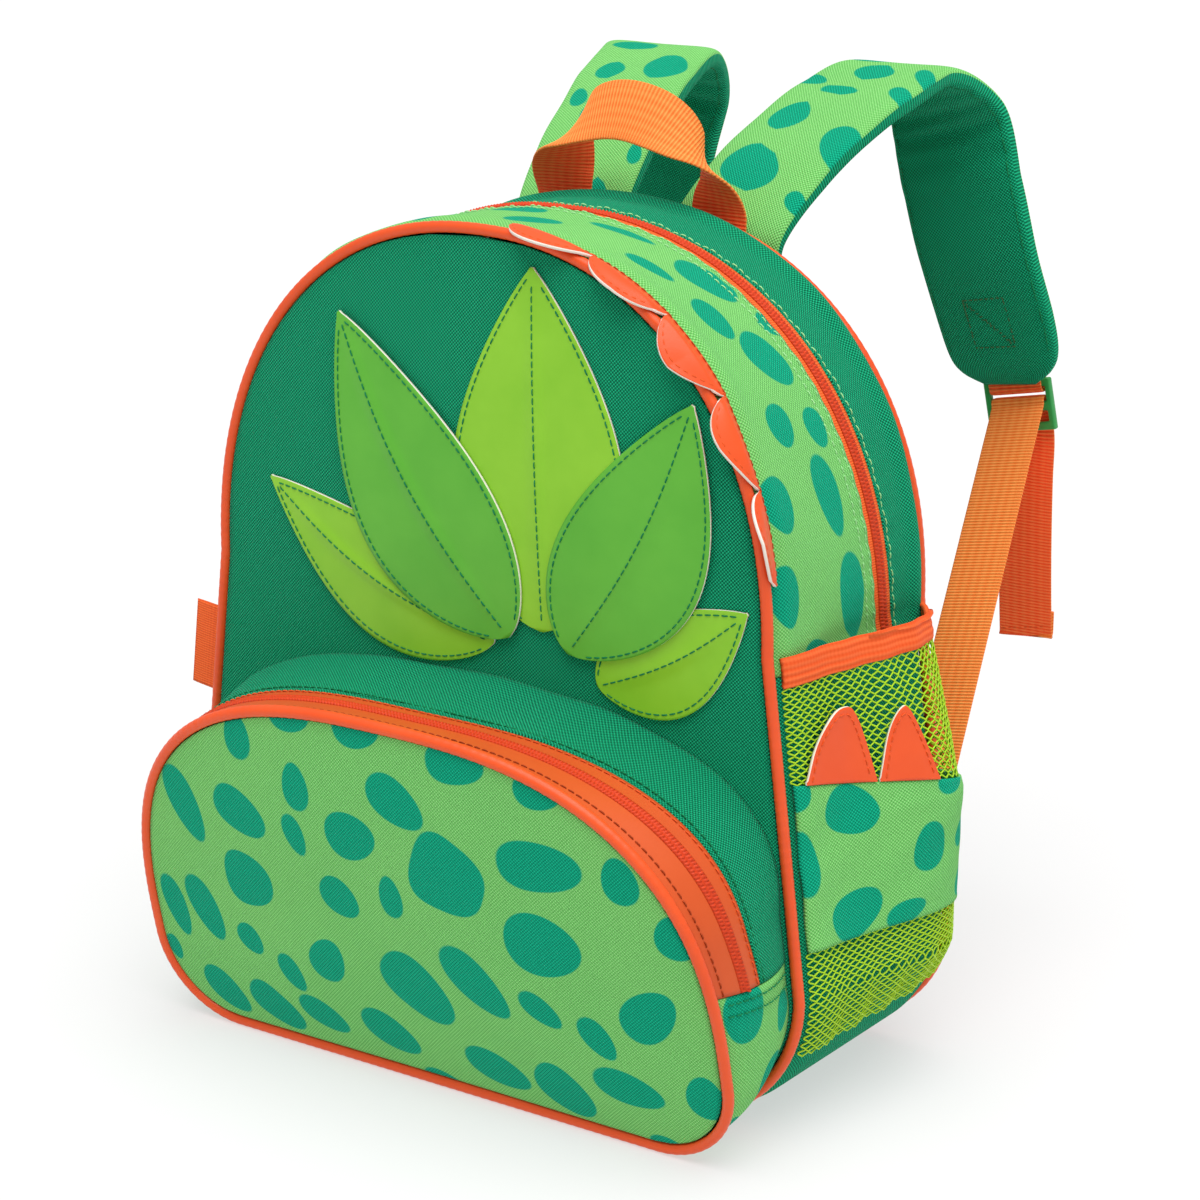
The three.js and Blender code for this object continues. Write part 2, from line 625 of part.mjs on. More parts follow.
for (const [side, mirror] of [['right', 1], ['left', -1]]) {
  const { mouth, binding_low, band_top, band_low, foot } = SIDE_SEAMS;
  const binding = sideWall(mirror, binding_low, mouth, spaced(0, 1, 1), BINDING_THICKNESS);
  const netUpper = sideWall(mirror, band_top, below(binding_low), spaced(0, 1, 2), NET_THICKNESS);
  const band = sideWall(mirror, band_low, below(band_top), spaced(0, 1, 3), CLOTH);
  const netLower = sideWall(mirror, foot, below(band_low), spaced(0, 1, 5), NET_THICKNESS);
  add(`side_binding_${side}`, binding, orangeVinyl());
  add(`side_net_upper_${side}`, netUpper, netting());
  add(`side_band_${side}`, band, printed());
  add(`side_net_lower_${side}`, netLower, netting());
  for (const tab of TABS) add(`side_tab_${tab.name}_${side}`, sideTab(mirror, tab), orangeVinyl());
}

// A smooth run through table rows, each row's columns eased by a spline
function splined(rows, steps) {
  const curve = new THREE.CatmullRomCurve3(rows.map((row) => new THREE.Vector3(row.x, row.y, row.z)));
  return spaced(0, 1, steps).map((u) => ({ at: curve.getPoint(u), along: curve.getTangent(u), u }));
}

function columnAt(rows, column, u) {
  const place = u * (rows.length - 1);
  const i = Math.min(Math.floor(place), rows.length - 2);
  return lerp(rows[i][column], rows[i + 1][column], place - i);
}

// Flat webbing along stations, each with its place, its run and the way across
function webbing(stations, width, thickness) {
  return loft(stations.map(({ at, along, across }) => {
    const wide = across.clone().addScaledVector(along, -across.dot(along)).normalize();
    const thick = new THREE.Vector3().crossVectors(along, wide);
    const edge = (w) => at.clone().addScaledVector(wide, (w * width) / 2);
    const corner = (w, t) => edge(w).addScaledVector(thick, (t * thickness) / 2);
    return section([corner(-1, 1), corner(1, 1)], [corner(-1, -1), corner(1, -1)]);
  }));
}

// Grab handle: one strip whose flat legs roll forward into the crown
const handleOther = HANDLE_ROUTE.map(({ x, y, z, across: [ax, ay, az] }) => {
  return { x: -x, y, z, across: [-ax, ay, az] };
});
const handleRows = [...HANDLE_ROUTE, HANDLE_CROWN, ...handleOther.reverse()];
add('handle', webbing(splined(handleRows, HANDLE_STEPS).map((station) => {
  const place = station.u * (handleRows.length - 1);
  const i = Math.min(Math.floor(place), handleRows.length - 2);
  const [a, b] = [handleRows[i].across, handleRows[i + 1].across].map((v) => new THREE.Vector3(...v));
  return { ...station, across: a.lerp(b, place - i) };
}), HANDLE_WIDTH, WEBBING), webbingCloth());

// Shoulder straps: flat oval sections that narrow to a rounded end
const ALONG_X = new THREE.Vector3(1, 0, 0);

function squared(value) {
  return (Math.sign(value) * Math.abs(value) ** STRAP_SQUARENESS) / 2;
}

function strap(mirror) {
  return loft(splined(STRAP_ROUTE, STRAP_STEPS).map(({ at, along, u }) => {
    const wide = ALONG_X.clone().addScaledVector(along, -ALONG_X.dot(along)).normalize();
    const thick = new THREE.Vector3().crossVectors(along, wide);
    const ring = spaced(0, 2 * Math.PI, STRAP_SIDES).slice(0, -1).map((angle) => {
      const w = squared(Math.cos(angle)) * columnAt(STRAP_ROUTE, 'width', u);
      const t = squared(Math.sin(angle)) * columnAt(STRAP_ROUTE, 'thick', u);
      return at.clone().addScaledVector(wide, w).addScaledVector(thick, t);
    });
    ring.forEach((p) => p.setX(p.x * mirror));
    return ring;
  }));
}

add('strap_right', strap(1), printed());
add('strap_left', strap(-1), printed());

// The lock's own axes: across the strap, down the pull of the webbing, and through its thickness
const strapEnd = splined(STRAP_ROUTE, STRAP_STEPS).at(-1);
const lockAcross = ALONG_X.clone().addScaledVector(LOCK_DOWN, -ALONG_X.dot(LOCK_DOWN)).normalize();
const lockThrough = new THREE.Vector3().crossVectors(lockAcross, LOCK_DOWN);
const strapWide = ALONG_X.clone().addScaledVector(strapEnd.along, -ALONG_X.dot(strapEnd.along)).normalize();
const strapOut = new THREE.Vector3().crossVectors(strapWide, strapEnd.along);
const lockTop = strapEnd.at.clone().addScaledVector(strapOut, LOCK_BEHIND);
const LOCK_HEIGHT = 2 * LOCK.bar + LOCK.slot + LOCK.grip + LOCK.lower_slot;

function lockPoint(down, through) {
  return lockTop.clone().addScaledVector(LOCK_DOWN, down).addScaledVector(lockThrough, through);
}

function rectangle(path, left, bottom, width, height) {
  path.moveTo(left, bottom);
  path.lineTo(left + width, bottom);
  path.lineTo(left + width, bottom + height);
  path.lineTo(left, bottom + height);
  path.closePath();
  return path;
}

function ladderLock(mirror) {
  const outline = rectangle(new THREE.Shape(), -LOCK.width / 2, 0, LOCK.width, LOCK_HEIGHT);
  const slotLeft = -LOCK.slot_width / 2;
  const lowerFrom = LOCK.bar + LOCK.slot + LOCK.grip;
  const slot = (from, height) => rectangle(new THREE.Path(), slotLeft, from, LOCK.slot_width, height);
  outline.holes.push(slot(LOCK.bar, LOCK.slot), slot(lowerFrom, LOCK.lower_slot));
  const geometry = new THREE.ExtrudeGeometry(outline, { depth: LOCK.thick, bevelEnabled: false });
  geometry.translate(0, 0, -LOCK.thick / 2);
  const [across, down] = [lockAcross, LOCK_DOWN].map((v) => v.clone());
  const at = lockTop.clone();
  if (mirror < 0) {
    across.set(across.x, -across.y, -across.z);
    down.setX(-down.x);
    at.setX(-at.x);
  }
  const through = new THREE.Vector3().crossVectors(across, down);
  return geometry.applyMatrix4(new THREE.Matrix4().makeBasis(across, down, through).setPosition(at));
}

// Stations for webbing through the lock: straight pieces joined at the listed points
function stationsThrough(points, mirror) {
  const flip = new THREE.Vector3(mirror, 1, 1);
  return points.map((at, i) => {
    const before = points[Math.max(i - 1, 0)];
    const after = points[Math.min(i + 1, points.length - 1)];
    const along = after.clone().sub(before).normalize();
    const [place, run, across] = [at, along, lockAcross].map((v) => v.clone().multiply(flip));
    return { at: place, along: run, across };
  });
}

// Round a bar: down one face, round its far edge and back, clear of its corners
const LOCK_CLEAR = LOCK.thick / 2 + GAP + ADJUSTER_THICK / 2 + 0.1;
const BAR_BEND = [
  { past: -0.9, through: -LOCK_CLEAR },
  { past: 0.9, through: -LOCK_CLEAR + 0.25 },
  { past: 1.9, through: -LOCK_CLEAR + 1.4 },
  { past: 2, through: 0 },
  { past: 1.9, through: LOCK_CLEAR - 1.4 },
  { past: 0.9, through: LOCK_CLEAR - 0.25 },
  { past: -0.9, through: LOCK_CLEAR },
];
function roundBar(edge, way) {
  return BAR_BEND.map(({ past, through }) => lockPoint(edge + past * way, through));
}

function loopLayer(raised) {
  return LOOP_LIE.map(({ up, out }) => strapEnd.at.clone()
    .addScaledVector(strapEnd.along, -up)
    .addScaledVector(strapOut, out + raised));
}

const loopPoints = [
  ...loopLayer(0),
  ...roundBar(LOCK.bar, 1),
  lockPoint(LOOP_CLEAR, LOCK_CLEAR),
  ...loopLayer(LOOP_LAYER).reverse(),
];
const tailTop = lockPoint(LOCK_HEIGHT + LOCK_LEAVE.tail, LOCK_CLEAR + LOCK_LEAVE.tail_off);
const tailRows = spaced(0, 1, TAIL_STEPS).slice(1).map((u) => new THREE.Vector3(
  tailTop.x,
  tailTop.y + TAIL_LEAN * u ** 2,
  lerp(tailTop.z, TAIL_END_Z, u),
));
const adjusterPoints = [
  ...ADJUSTER_SEAM.slice().reverse().map((row) => new THREE.Vector3(row.x, row.y, row.z)),
  lockPoint(LOCK_HEIGHT + LOCK_LEAVE.run, -LOCK_CLEAR - LOCK_LEAVE.off),
  ...roundBar(LOCK.bar + LOCK.slot, -1),
  tailTop,
  ...tailRows,
];

for (const [side, mirror] of [['right', 1], ['left', -1]]) {
  const threaded = (points) => webbing(stationsThrough(points, mirror), ADJUSTER_WIDTH, ADJUSTER_THICK);
  add(`lock_loop_${side}`, threaded(loopPoints), webbingCloth());
  add(`ladder_lock_${side}`, ladderLock(mirror), plastic());
  add(`adjuster_${side}`, threaded(adjusterPoints), webbingCloth());
}

// Bare tab in the -X seam
const tabTurns = spaced(1 - turnAtHeight(SEAM_TAB.low), 1 - turnAtHeight(SEAM_TAB.high), 1);
add('seam_tab', loft(tabTurns.map((turn) => {
  const edge = (y) => [bodyPoint(turn, y, GAP), bodyPoint(turn, y, SEAM_TAB.reach)];
  return section(edge(SEAM_TAB.y - SEAM_TAB.thick / 2), edge(SEAM_TAB.y + SEAM_TAB.thick / 2));
})), orangeVinyl());

// Pocket slider at the -X end of the pocket zip: the run points down, the bail stands out to -X
const sliderAngle = Math.PI - POCKET_ZIP_LEFT - SLIDER_BACK_ANGLE;
const sliderAt = pocketPoint(sliderAngle, POCKET_COIL_AT, SLIDER_RISE);
const sliderRun = pocketPoint(sliderAngle + RUN_ANGLE, POCKET_COIL_AT, SLIDER_RISE).sub(sliderAt).normalize();
const sliderCross = ALONG_Y.clone().addScaledVector(sliderRun, -ALONG_Y.dot(sliderRun)).normalize();
const sliderOut = new THREE.Vector3().crossVectors(sliderRun, sliderCross).normalize();
if (sliderOut.x > 0) sliderOut.negate();
const sliderFrame = new THREE.Matrix4().makeBasis(
  sliderRun,
  sliderOut,
  new THREE.Vector3().crossVectors(sliderRun, sliderOut),
).setPosition(sliderAt);

function solid(geometry) {
  const bare = geometry.clone();
  bare.deleteAttribute('normal');
  bare.deleteAttribute('uv');
  const merged = mergeVertices(bare, 1e-4);
  const vertProperties = Float32Array.from(merged.attributes.position.array);
  const triVerts = Uint32Array.from(merged.index.array);
  return new wasm.Manifold(new wasm.Mesh({ numProp: 3, vertProperties, triVerts }));
}

function fromSolid(manifold) {
  const mesh = manifold.getMesh();
  const geometry = new THREE.BufferGeometry();
  geometry.setAttribute('position', new THREE.BufferAttribute(mesh.vertProperties, 3));
  geometry.setIndex(new THREE.BufferAttribute(mesh.triVerts, 1));
  geometry.computeVertexNormals();
  return geometry;
}

// The slider's frame: x down the run, y out from the tape, z across
function slider() {
  const block = new THREE.BoxGeometry(SLIDER.length, SLIDER.height, SLIDER.width);
  block.translate(0, SLIDER.height / 2, 0);
  const arch = new THREE.Shape();
  const { half, bar, taper } = BAIL;
  const foot = SLIDER.height - BAIL.sunk;
  const head = SLIDER.height + BAIL.reach;
  arch.moveTo(-half, foot);
  arch.lineTo(-half + bar, foot);
  arch.lineTo(-half + bar, head - bar);
  arch.lineTo(half - bar, head - bar);
  arch.lineTo(half - bar, foot);
  arch.lineTo(half, foot);
  arch.lineTo(half - taper, head);
  arch.lineTo(-half + taper, head);
  arch.closePath();
  const bail = new THREE.ExtrudeGeometry(arch, { depth: BAIL.width, bevelEnabled: false });
  bail.translate(0, 0, -BAIL.width / 2);
  return fromSolid(solid(block).add(solid(bail))).applyMatrix4(sliderFrame);
}

// Height of the pull's pivot above the tape side of the slider
const PIVOT_OUT = SLIDER.height + (BAIL.reach - BAIL.bar) / 2;

// The pull: a flat tab with a window that the bail passes through, pivoting on the window's top bar
function pull() {
  const tab = new THREE.Shape();
  const top = -PULL.bar / 2;
  const { length: end, half_width: half, corner } = PULL;
  tab.moveTo(top, -half);
  tab.lineTo(end - corner, -half);
  tab.lineTo(end, -half + corner);
  tab.lineTo(end, half - corner);
  tab.lineTo(end - corner, half);
  tab.lineTo(top, half);
  tab.closePath();
  const inside = PULL.half_width - PULL.arm;
  tab.holes.push(rectangle(new THREE.Path(), PULL.bar / 2, -inside, PULL.window, 2 * inside));
  const geometry = new THREE.ExtrudeGeometry(tab, { depth: PULL.thick, bevelEnabled: false });
  geometry.translate(0, 0, -PULL.thick / 2);
  geometry.rotateX(Math.PI / 2);
  geometry.translate(0, PIVOT_OUT, 0);
  return geometry.applyMatrix4(sliderFrame);
}

add('pocket_zip_slider', slider(), darkMetal());
add('pocket_zip_pull', pull(), darkMetal());

export default bag;
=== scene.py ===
# %% [markdown]
# # A child's spotted backpack
# The bag is sewn from flat cloth, so nearly every piece here is a flat grid that is bent into place.
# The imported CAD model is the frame: each new piece takes the place of one CAD node and rides on its body.

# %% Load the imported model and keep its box
import json
import math

import bmesh
import bpy
import numpy as np
from mathutils import Matrix, Vector

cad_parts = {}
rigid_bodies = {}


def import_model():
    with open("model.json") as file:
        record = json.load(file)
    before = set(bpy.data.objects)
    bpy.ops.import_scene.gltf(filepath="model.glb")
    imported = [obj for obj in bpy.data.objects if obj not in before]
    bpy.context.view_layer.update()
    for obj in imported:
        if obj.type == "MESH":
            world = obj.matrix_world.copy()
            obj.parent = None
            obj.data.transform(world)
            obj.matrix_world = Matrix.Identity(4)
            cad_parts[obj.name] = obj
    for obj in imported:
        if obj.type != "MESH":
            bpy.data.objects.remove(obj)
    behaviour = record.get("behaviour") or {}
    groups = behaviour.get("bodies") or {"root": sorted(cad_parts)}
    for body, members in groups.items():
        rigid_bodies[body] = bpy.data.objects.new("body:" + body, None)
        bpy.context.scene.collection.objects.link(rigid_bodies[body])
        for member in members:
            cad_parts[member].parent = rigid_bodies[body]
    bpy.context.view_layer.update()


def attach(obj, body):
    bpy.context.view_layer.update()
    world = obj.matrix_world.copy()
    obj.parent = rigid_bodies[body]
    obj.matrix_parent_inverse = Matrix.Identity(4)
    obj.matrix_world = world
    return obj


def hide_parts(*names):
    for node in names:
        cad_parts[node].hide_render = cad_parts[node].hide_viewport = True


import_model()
MM = 0.001

# %% [markdown]
# ## The camera
# A long lens from the bag's front right, a little above it. The angles and the focal length were fitted
# to the outline of the body, so the render can be laid over the photograph.

# %% Camera
VIEW = {"azimuth": 33.494, "elevation": 17.206, "distance": 1.2125}
VIEW_TARGET = Vector((0.01886, 0.0, 0.18002))
FOCAL_PIXELS = 3093.96
FRAME_PIXELS = 1200
SENSOR = 36.0

azimuth = math.radians(VIEW["azimuth"])
elevation = math.radians(VIEW["elevation"])
backwards = Vector((
    math.sin(azimuth) * math.cos(elevation),
    -math.cos(azimuth) * math.cos(elevation),
    math.sin(elevation),
))
camera_data = bpy.data.cameras.new("studio_camera")
camera_data.sensor_width = SENSOR
camera_data.lens = SENSOR * FOCAL_PIXELS / FRAME_PIXELS
camera = bpy.data.objects.new("studio_camera", camera_data)
camera.location = VIEW_TARGET + backwards * VIEW["distance"]
camera.rotation_euler = backwards.to_track_quat("Z", "Y").to_euler()
bpy.context.scene.collection.objects.link(camera)
bpy.context.scene.camera = camera
print("camera lens:", round(camera_data.lens, 1), "mm")

# %% [markdown]
# ## Colours, nodes and materials
# Four small tools: one turns an sRGB colour to linear, one adds a node with its settings and links, one
# starts a material, and one links sockets to its surface. Values that are even all over are set on the
# shader's own sockets, because an exported model keeps those.

# %% Tools for materials
def linear(hex_colour):
    """An sRGB colour such as "#F5622F" as linear red, green, blue and alpha."""
    shares = [int(hex_colour[i:i + 2], 16) / 255 for i in (1, 3, 5)]
    return [s / 12.92 if s <= 0.04045 else ((s + 0.055) / 1.055) ** 2.4 for s in shares] + [1.0]


def add_node(material, kind, inputs, **settings):
    """One node: inputs are sockets to link or values to set, and settings are the node's own."""
    node = material.node_tree.nodes.new(kind)
    for name, value in settings.items():
        setattr(node, name, value)
    for name, value in inputs.items():
        if isinstance(value, bpy.types.NodeSocket):
            material.node_tree.links.new(value, node.inputs[name])
        else:
            node.inputs[name].default_value = value
    return node


def new_material(name, even):
    """A material with a Principled surface, and the values that are even all over it."""
    material = bpy.data.materials.new(name)
    material.use_nodes = True
    surface = material.node_tree.nodes["Principled BSDF"]
    for socket, value in even.items():
        surface.inputs[socket].default_value = value
    return material


def wire(material, links):
    """Links sockets to the material's Principled surface."""
    surface = material.node_tree.nodes["Principled BSDF"]
    for socket, value in links.items():
        material.node_tree.links.new(value, surface.inputs[socket])


# The Mix node names its sockets alike for every kind of data; these are the numbers of its colours
MIX_A = 6
MIX_B = 7
MIX_COLOUR = 2

# %% [markdown]
# ## Woven cloth
# The bag is 600 denier polyester in a plain weave, with a matt coated back. Seen close, each thread shows
# as a small crown where it passes over its neighbour. Two sine waves, multiplied, give those crowns on the
# cloth's own flat cut. The real threads are 0.7 mm apart; here they are a little coarser so that they show.

# %% Weave
WEAVE_PITCH = 1.4
WEAVE_DEPTH = 0.5
RIB_SHARE = 0.3
CROWN_CONTRAST = 0.62
CLOTH_SURFACE = {
    "Roughness": 0.85, "Specular IOR Level": 0.06,
    "Sheen Weight": 0.12, "Sheen Roughness": 0.15, "Sheen Tint": (0.5, 1.0, 0.8, 1.0),
}


def weave(material, across_pitch, along_pitch, depth, ribbed=False):
    """Crowns of woven thread: their height from 0 to 1, and the bumped normal that they give.

    A ribbed weave adds the two ways instead, so that its heavy weft stands out and its warp only shows.
    """
    cut = add_node(material, "ShaderNodeUVMap", {}, uv_map="cut")
    waves = (2 * math.pi / (across_pitch * MM), 2 * math.pi / (along_pitch * MM), 0.0)
    phase = add_node(material, "ShaderNodeVectorMath", {0: cut.outputs["UV"], 1: waves}, operation="MULTIPLY")
    parts = add_node(material, "ShaderNodeSeparateXYZ", {"Vector": phase.outputs["Vector"]})
    warp = add_node(material, "ShaderNodeMath", {0: parts.outputs["X"]}, operation="SINE")
    weft = add_node(material, "ShaderNodeMath", {0: parts.outputs["Y"]}, operation="SINE")
    if ribbed:
        ways = {0: warp.outputs[0], 1: RIB_SHARE, 2: weft.outputs[0]}
        over = add_node(material, "ShaderNodeMath", ways, operation="MULTIPLY_ADD")
    else:
        ways = {0: warp.outputs[0], 1: weft.outputs[0]}
        over = add_node(material, "ShaderNodeMath", ways, operation="MULTIPLY")
    reach = 1 + RIB_SHARE if ribbed else CROWN_CONTRAST
    height = add_node(material, "ShaderNodeMapRange", {
        "Value": over.outputs[0], "From Min": -reach, "From Max": reach,
    })
    bump = add_node(material, "ShaderNodeBump", {
        "Height": height.outputs["Result"], "Strength": 1.0, "Distance": depth * MM,
    })
    return height.outputs["Result"], bump.outputs["Normal"]


def uneven(material, spread):
    """A slow change of tone, as dye and handling give: a factor near one half, on Object coordinates."""
    place = add_node(material, "ShaderNodeTexCoord", {})
    cloud = add_node(material, "ShaderNodeTexNoise", {
        "Vector": place.outputs["Object"], "Scale": 1 / (spread * MM), "Detail": 3.0, "Roughness": 0.6,
    })
    return cloud.outputs["Fac"]


def two_tones(material, factor, low, high):
    """A colour between two, by a factor."""
    mix = add_node(material, "ShaderNodeMix", {0: factor, MIX_A: low, MIX_B: high}, data_type="RGBA")
    return mix.outputs[MIX_COLOUR]


# %% [markdown]
# ### Plain green cloth
# The dark green body cloth. Its colour is lighter on the crowns, a painted highlight, and darker in the gaps
# between yarns, painted shade, which gives the eye a fine lattice; a slow change of tone keeps large panels
# from looking printed.

# %% Plain green cloth
WORN_PATCH = 45.0
WORN_SHARE = {"From Min": 0.35, "From Max": 0.75, "To Max": 0.35}


def plain_cloth(name, shade, crown, worn):
    """Woven cloth with painted shade in the gaps and a painted highlight on the crowns, and worn in patches.
    """
    material = new_material(name, CLOTH_SURFACE)
    height, normal = weave(material, WEAVE_PITCH, WEAVE_PITCH, WEAVE_DEPTH)
    # Painted weave shading: the shade tone in the gaps, the crown tone as a painted highlight
    dye_and_painted_weave_shade = two_tones(material, height, linear(shade), linear(crown))
    cloud = add_node(material, "ShaderNodeMapRange", {"Value": uneven(material, WORN_PATCH), **WORN_SHARE})
    colour = two_tones(material, cloud.outputs["Result"], dye_and_painted_weave_shade, linear(worn))
    wire(material, {"Base Color": colour, "Normal": normal})
    return material


green_cloth = plain_cloth("green_polyester_plain_weave", "#00543A", "#22C08A", "#0C9666")
print("made", green_cloth.name)

# %% [markdown]
# ### Spotted cloth
# The same cloth, printed light green with teal spots. Each printed piece carries the distance to the edge
# of its nearest spot as an attribute, below zero inside a spot, so the print's edge stays crisp and no
# picture is needed. The ink fills the weave, so its crowns stand out less than on plain cloth. Ground and
# ink are both lighter on the crowns, a painted highlight, and darker in the gaps, painted shade.

# %% Spotted cloth
INK_EDGE = 0.25 * MM
PRINTED_DEPTH = 0.35
FADED_PATCH = 60.0
FADED_SHARE = {"From Min": 0.4, "From Max": 0.8, "To Max": 0.12}

spotted_cloth = new_material("spotted_polyester_plain_weave", CLOTH_SURFACE)
crowns, crown_normal = weave(spotted_cloth, WEAVE_PITCH, WEAVE_PITCH, PRINTED_DEPTH)
# Painted weave shading on the print: the ground is lighter on the crowns and darker in the gaps
ground_and_painted_weave_shade = two_tones(spotted_cloth, crowns, linear("#5FB654"), linear("#95E085"))
faded = add_node(spotted_cloth, "ShaderNodeMapRange", {
    "Value": uneven(spotted_cloth, FADED_PATCH), **FADED_SHARE,
})
ground = two_tones(spotted_cloth, faded.outputs["Result"], ground_and_painted_weave_shade, linear("#A6E884"))
# The ink gets the same painted weave shading, lighter on the crowns and darker in the gaps
ink_and_painted_weave_shade = two_tones(spotted_cloth, crowns, linear("#008565"), linear("#18BC92"))
spot_edge = add_node(spotted_cloth, "ShaderNodeAttribute", {}, attribute_name="spot")
inked = add_node(spotted_cloth, "ShaderNodeMapRange", {
    "Value": spot_edge.outputs["Fac"],
    "From Min": -INK_EDGE, "From Max": INK_EDGE, "To Min": 1.0, "To Max": 0.0,
})
printed = two_tones(spotted_cloth, inked.outputs["Result"], ground, ink_and_painted_weave_shade)
wire(spotted_cloth, {"Base Color": printed, "Normal": crown_normal})
print("made", spotted_cloth.name)

# %% [markdown]
# ### Vinyl
# Soft PVC on a cloth back: piping, trim, tabs, leaves and zip bands. It is smooth with a faint leather
# grain and a broad highlight. Cells of a Voronoi pattern give that grain; noise would look like dust.
# Where the vinyl is cut, the white backing shows as a pale line.

# %% Vinyl
GRAIN = 0.9
GRAIN_DEPTH = 0.1
GRAIN_STRENGTH = 0.12
VINYL_PATCH = 30.0


def vinyl(name, deep, light, roughness):
    """Soft vinyl with a faint grain, between a deep and a light tone."""
    material = new_material(name, {
        "Roughness": roughness, "IOR": 1.5, "Specular IOR Level": 0.3,
        "Coat Weight": 0.08, "Coat Roughness": 0.2,
    })
    place = add_node(material, "ShaderNodeTexCoord", {})
    grain = add_node(material, "ShaderNodeTexVoronoi", {
        "Vector": place.outputs["Object"], "Scale": 1 / (GRAIN * MM), "Randomness": 1.0,
    })
    bump = add_node(material, "ShaderNodeBump", {
        "Height": grain.outputs["Distance"], "Strength": GRAIN_STRENGTH, "Distance": GRAIN_DEPTH * MM,
    })
    colour = two_tones(material, uneven(material, VINYL_PATCH), linear(deep), linear(light))
    wire(material, {"Base Color": colour, "Normal": bump.outputs["Normal"]})
    return material


orange_vinyl = vinyl("orange_soft_vinyl", "#E24A18", "#EE5C28", 0.42)
band_vinyl = vinyl("light_orange_soft_vinyl", "#C84D1C", "#D65A26", 0.45)
lime_vinyl = vinyl("lime_soft_vinyl", "#79BE1C", "#97D435", 0.42)
leaf_green_vinyl = vinyl("leaf_green_soft_vinyl", "#4FA82B", "#68BE3A", 0.42)
cut_edge = vinyl("white_vinyl_backing", "#EADFD2", "#F8F1E6", 0.6)
print("made five vinyls")

# %% [markdown]
# ### Webbing, elastic, net and thread
# Webbing is polypropylene tape woven with heavy crosswise ribs; the ribs are real geometry, and the
# material adds the fine lengthwise yarns, with a painted highlight on the ribs and painted shade between
# them. One face is a lighter orange, a painted lit side, and the other a deeper red orange, painted shade.
# Elastic has ribs along its length. Net and sewing thread are round twisted yarns, too small for more than a
# soft sheen and a little unevenness.

# %% Webbing, elastic, net and thread
YARN_SURFACE = {"Roughness": 0.65, "Specular IOR Level": 0.15}
TAPE_DEPTH = 0.2
YARN_PATCH = 1.2


def tape_cloth(name, shade, crown, across_pitch, along_pitch):
    """Ribbed tape, with the pitch of its yarns across and along it, and painted highlight and shade on its
    ribs.
    """
    material = new_material(name, YARN_SURFACE)
    height, normal = weave(material, across_pitch, along_pitch, TAPE_DEPTH, ribbed=True)
    # Painted weave shading: the crown tone on the ribs is a painted highlight, the shade tone between them
    # painted shade
    dye_and_painted_weave_shade = two_tones(material, height, linear(shade), linear(crown))
    wire(material, {"Base Color": dye_and_painted_weave_shade, "Normal": normal})
    return material


def yarn(name, deep, light, roughness):
    """Round yarn, between a deep and a light tone."""
    material = new_material(name, {**YARN_SURFACE, "Roughness": roughness})
    colour = two_tones(material, uneven(material, YARN_PATCH), linear(deep), linear(light))
    wire(material, {"Base Color": colour})
    return material


RIB_PITCH = 1.4
WARP_PITCH = 2.2
ELASTIC_PITCH = (1.6, 2.4)
ZIP_PITCH = (1.0, 1.0)
# Lit and shaded copies of one webbing: the lighter one is a painted lit side, the red-orange one painted
# shade
lit_side_webbing = tape_cloth("light_orange_webbing_painted_lit_side", "#F06A22", "#FFA254", WARP_PITCH, RIB_PITCH)
painted_shade_webbing = tape_cloth("red_orange_webbing_painted_shade", "#FA4A1C", "#FF8046", WARP_PITCH, RIB_PITCH)
elastic_cloth = tape_cloth("orange_ribbed_elastic", "#E2521F", "#F8703A", *ELASTIC_PITCH)
zip_cloth = tape_cloth("orange_zip_tape", "#E4521F", "#FF7A3A", *ZIP_PITCH)
net_yarn = yarn("lime_net_yarn", "#98C816", "#BEE636", 0.5)
coil_nylon = yarn("red_orange_nylon_coil", "#C6361A", "#DE5028", 0.4)
green_thread = yarn("light_green_thread", "#8CD28A", "#B4E8A4", 0.6)
dark_thread = yarn("dark_green_thread", "#0A6A40", "#138A58", 0.6)
orange_thread = yarn("orange_thread", "#D8481A", "#F06A35", 0.55)
# Red-brown thread: the real colour of the pocket's piping row, and painted shade of stitch holes on the
# trim's seam row
brown_thread_and_hole_shade = yarn("red_brown_thread_and_painted_hole_shade", "#9A3A18", "#B04A22", 0.6)
olive_thread = yarn("olive_thread", "#2E5C38", "#4E7248", 0.6)
print("made tapes and yarns")

# %% [markdown]
# ### Moulded plastic and dark metal
# The ladder locks are moulded acetal: an even, waxy green with a fine matt texture from the mould. The
# slider and its pull are zinc with a dark nickel finish, rubbed a little lighter in patches.

# %% Plastic and metal
MOULD_GRAIN = 0.5
MOULD_DEPTH = 0.05
MOULD_STRENGTH = 0.1
PLASTIC_PATCH = 12.0
METAL_PATCH = 3.0
METAL_ROUGHNESS = {"To Min": 0.28, "To Max": 0.5}
green_plastic = new_material("green_moulded_acetal", {"Roughness": 0.42, "IOR": 1.48})
mould = add_node(green_plastic, "ShaderNodeTexCoord", {})
spark = add_node(green_plastic, "ShaderNodeTexNoise", {
    "Vector": mould.outputs["Object"], "Scale": 1 / (MOULD_GRAIN * MM), "Detail": 2.0,
})
mould_bump = add_node(green_plastic, "ShaderNodeBump", {
    "Height": spark.outputs["Fac"], "Strength": MOULD_STRENGTH, "Distance": MOULD_DEPTH * MM,
})
handled = uneven(green_plastic, PLASTIC_PATCH)
wire(green_plastic, {
    "Base Color": two_tones(green_plastic, handled, linear("#23803A"), linear("#37A652")),
    "Normal": mould_bump.outputs["Normal"],
})

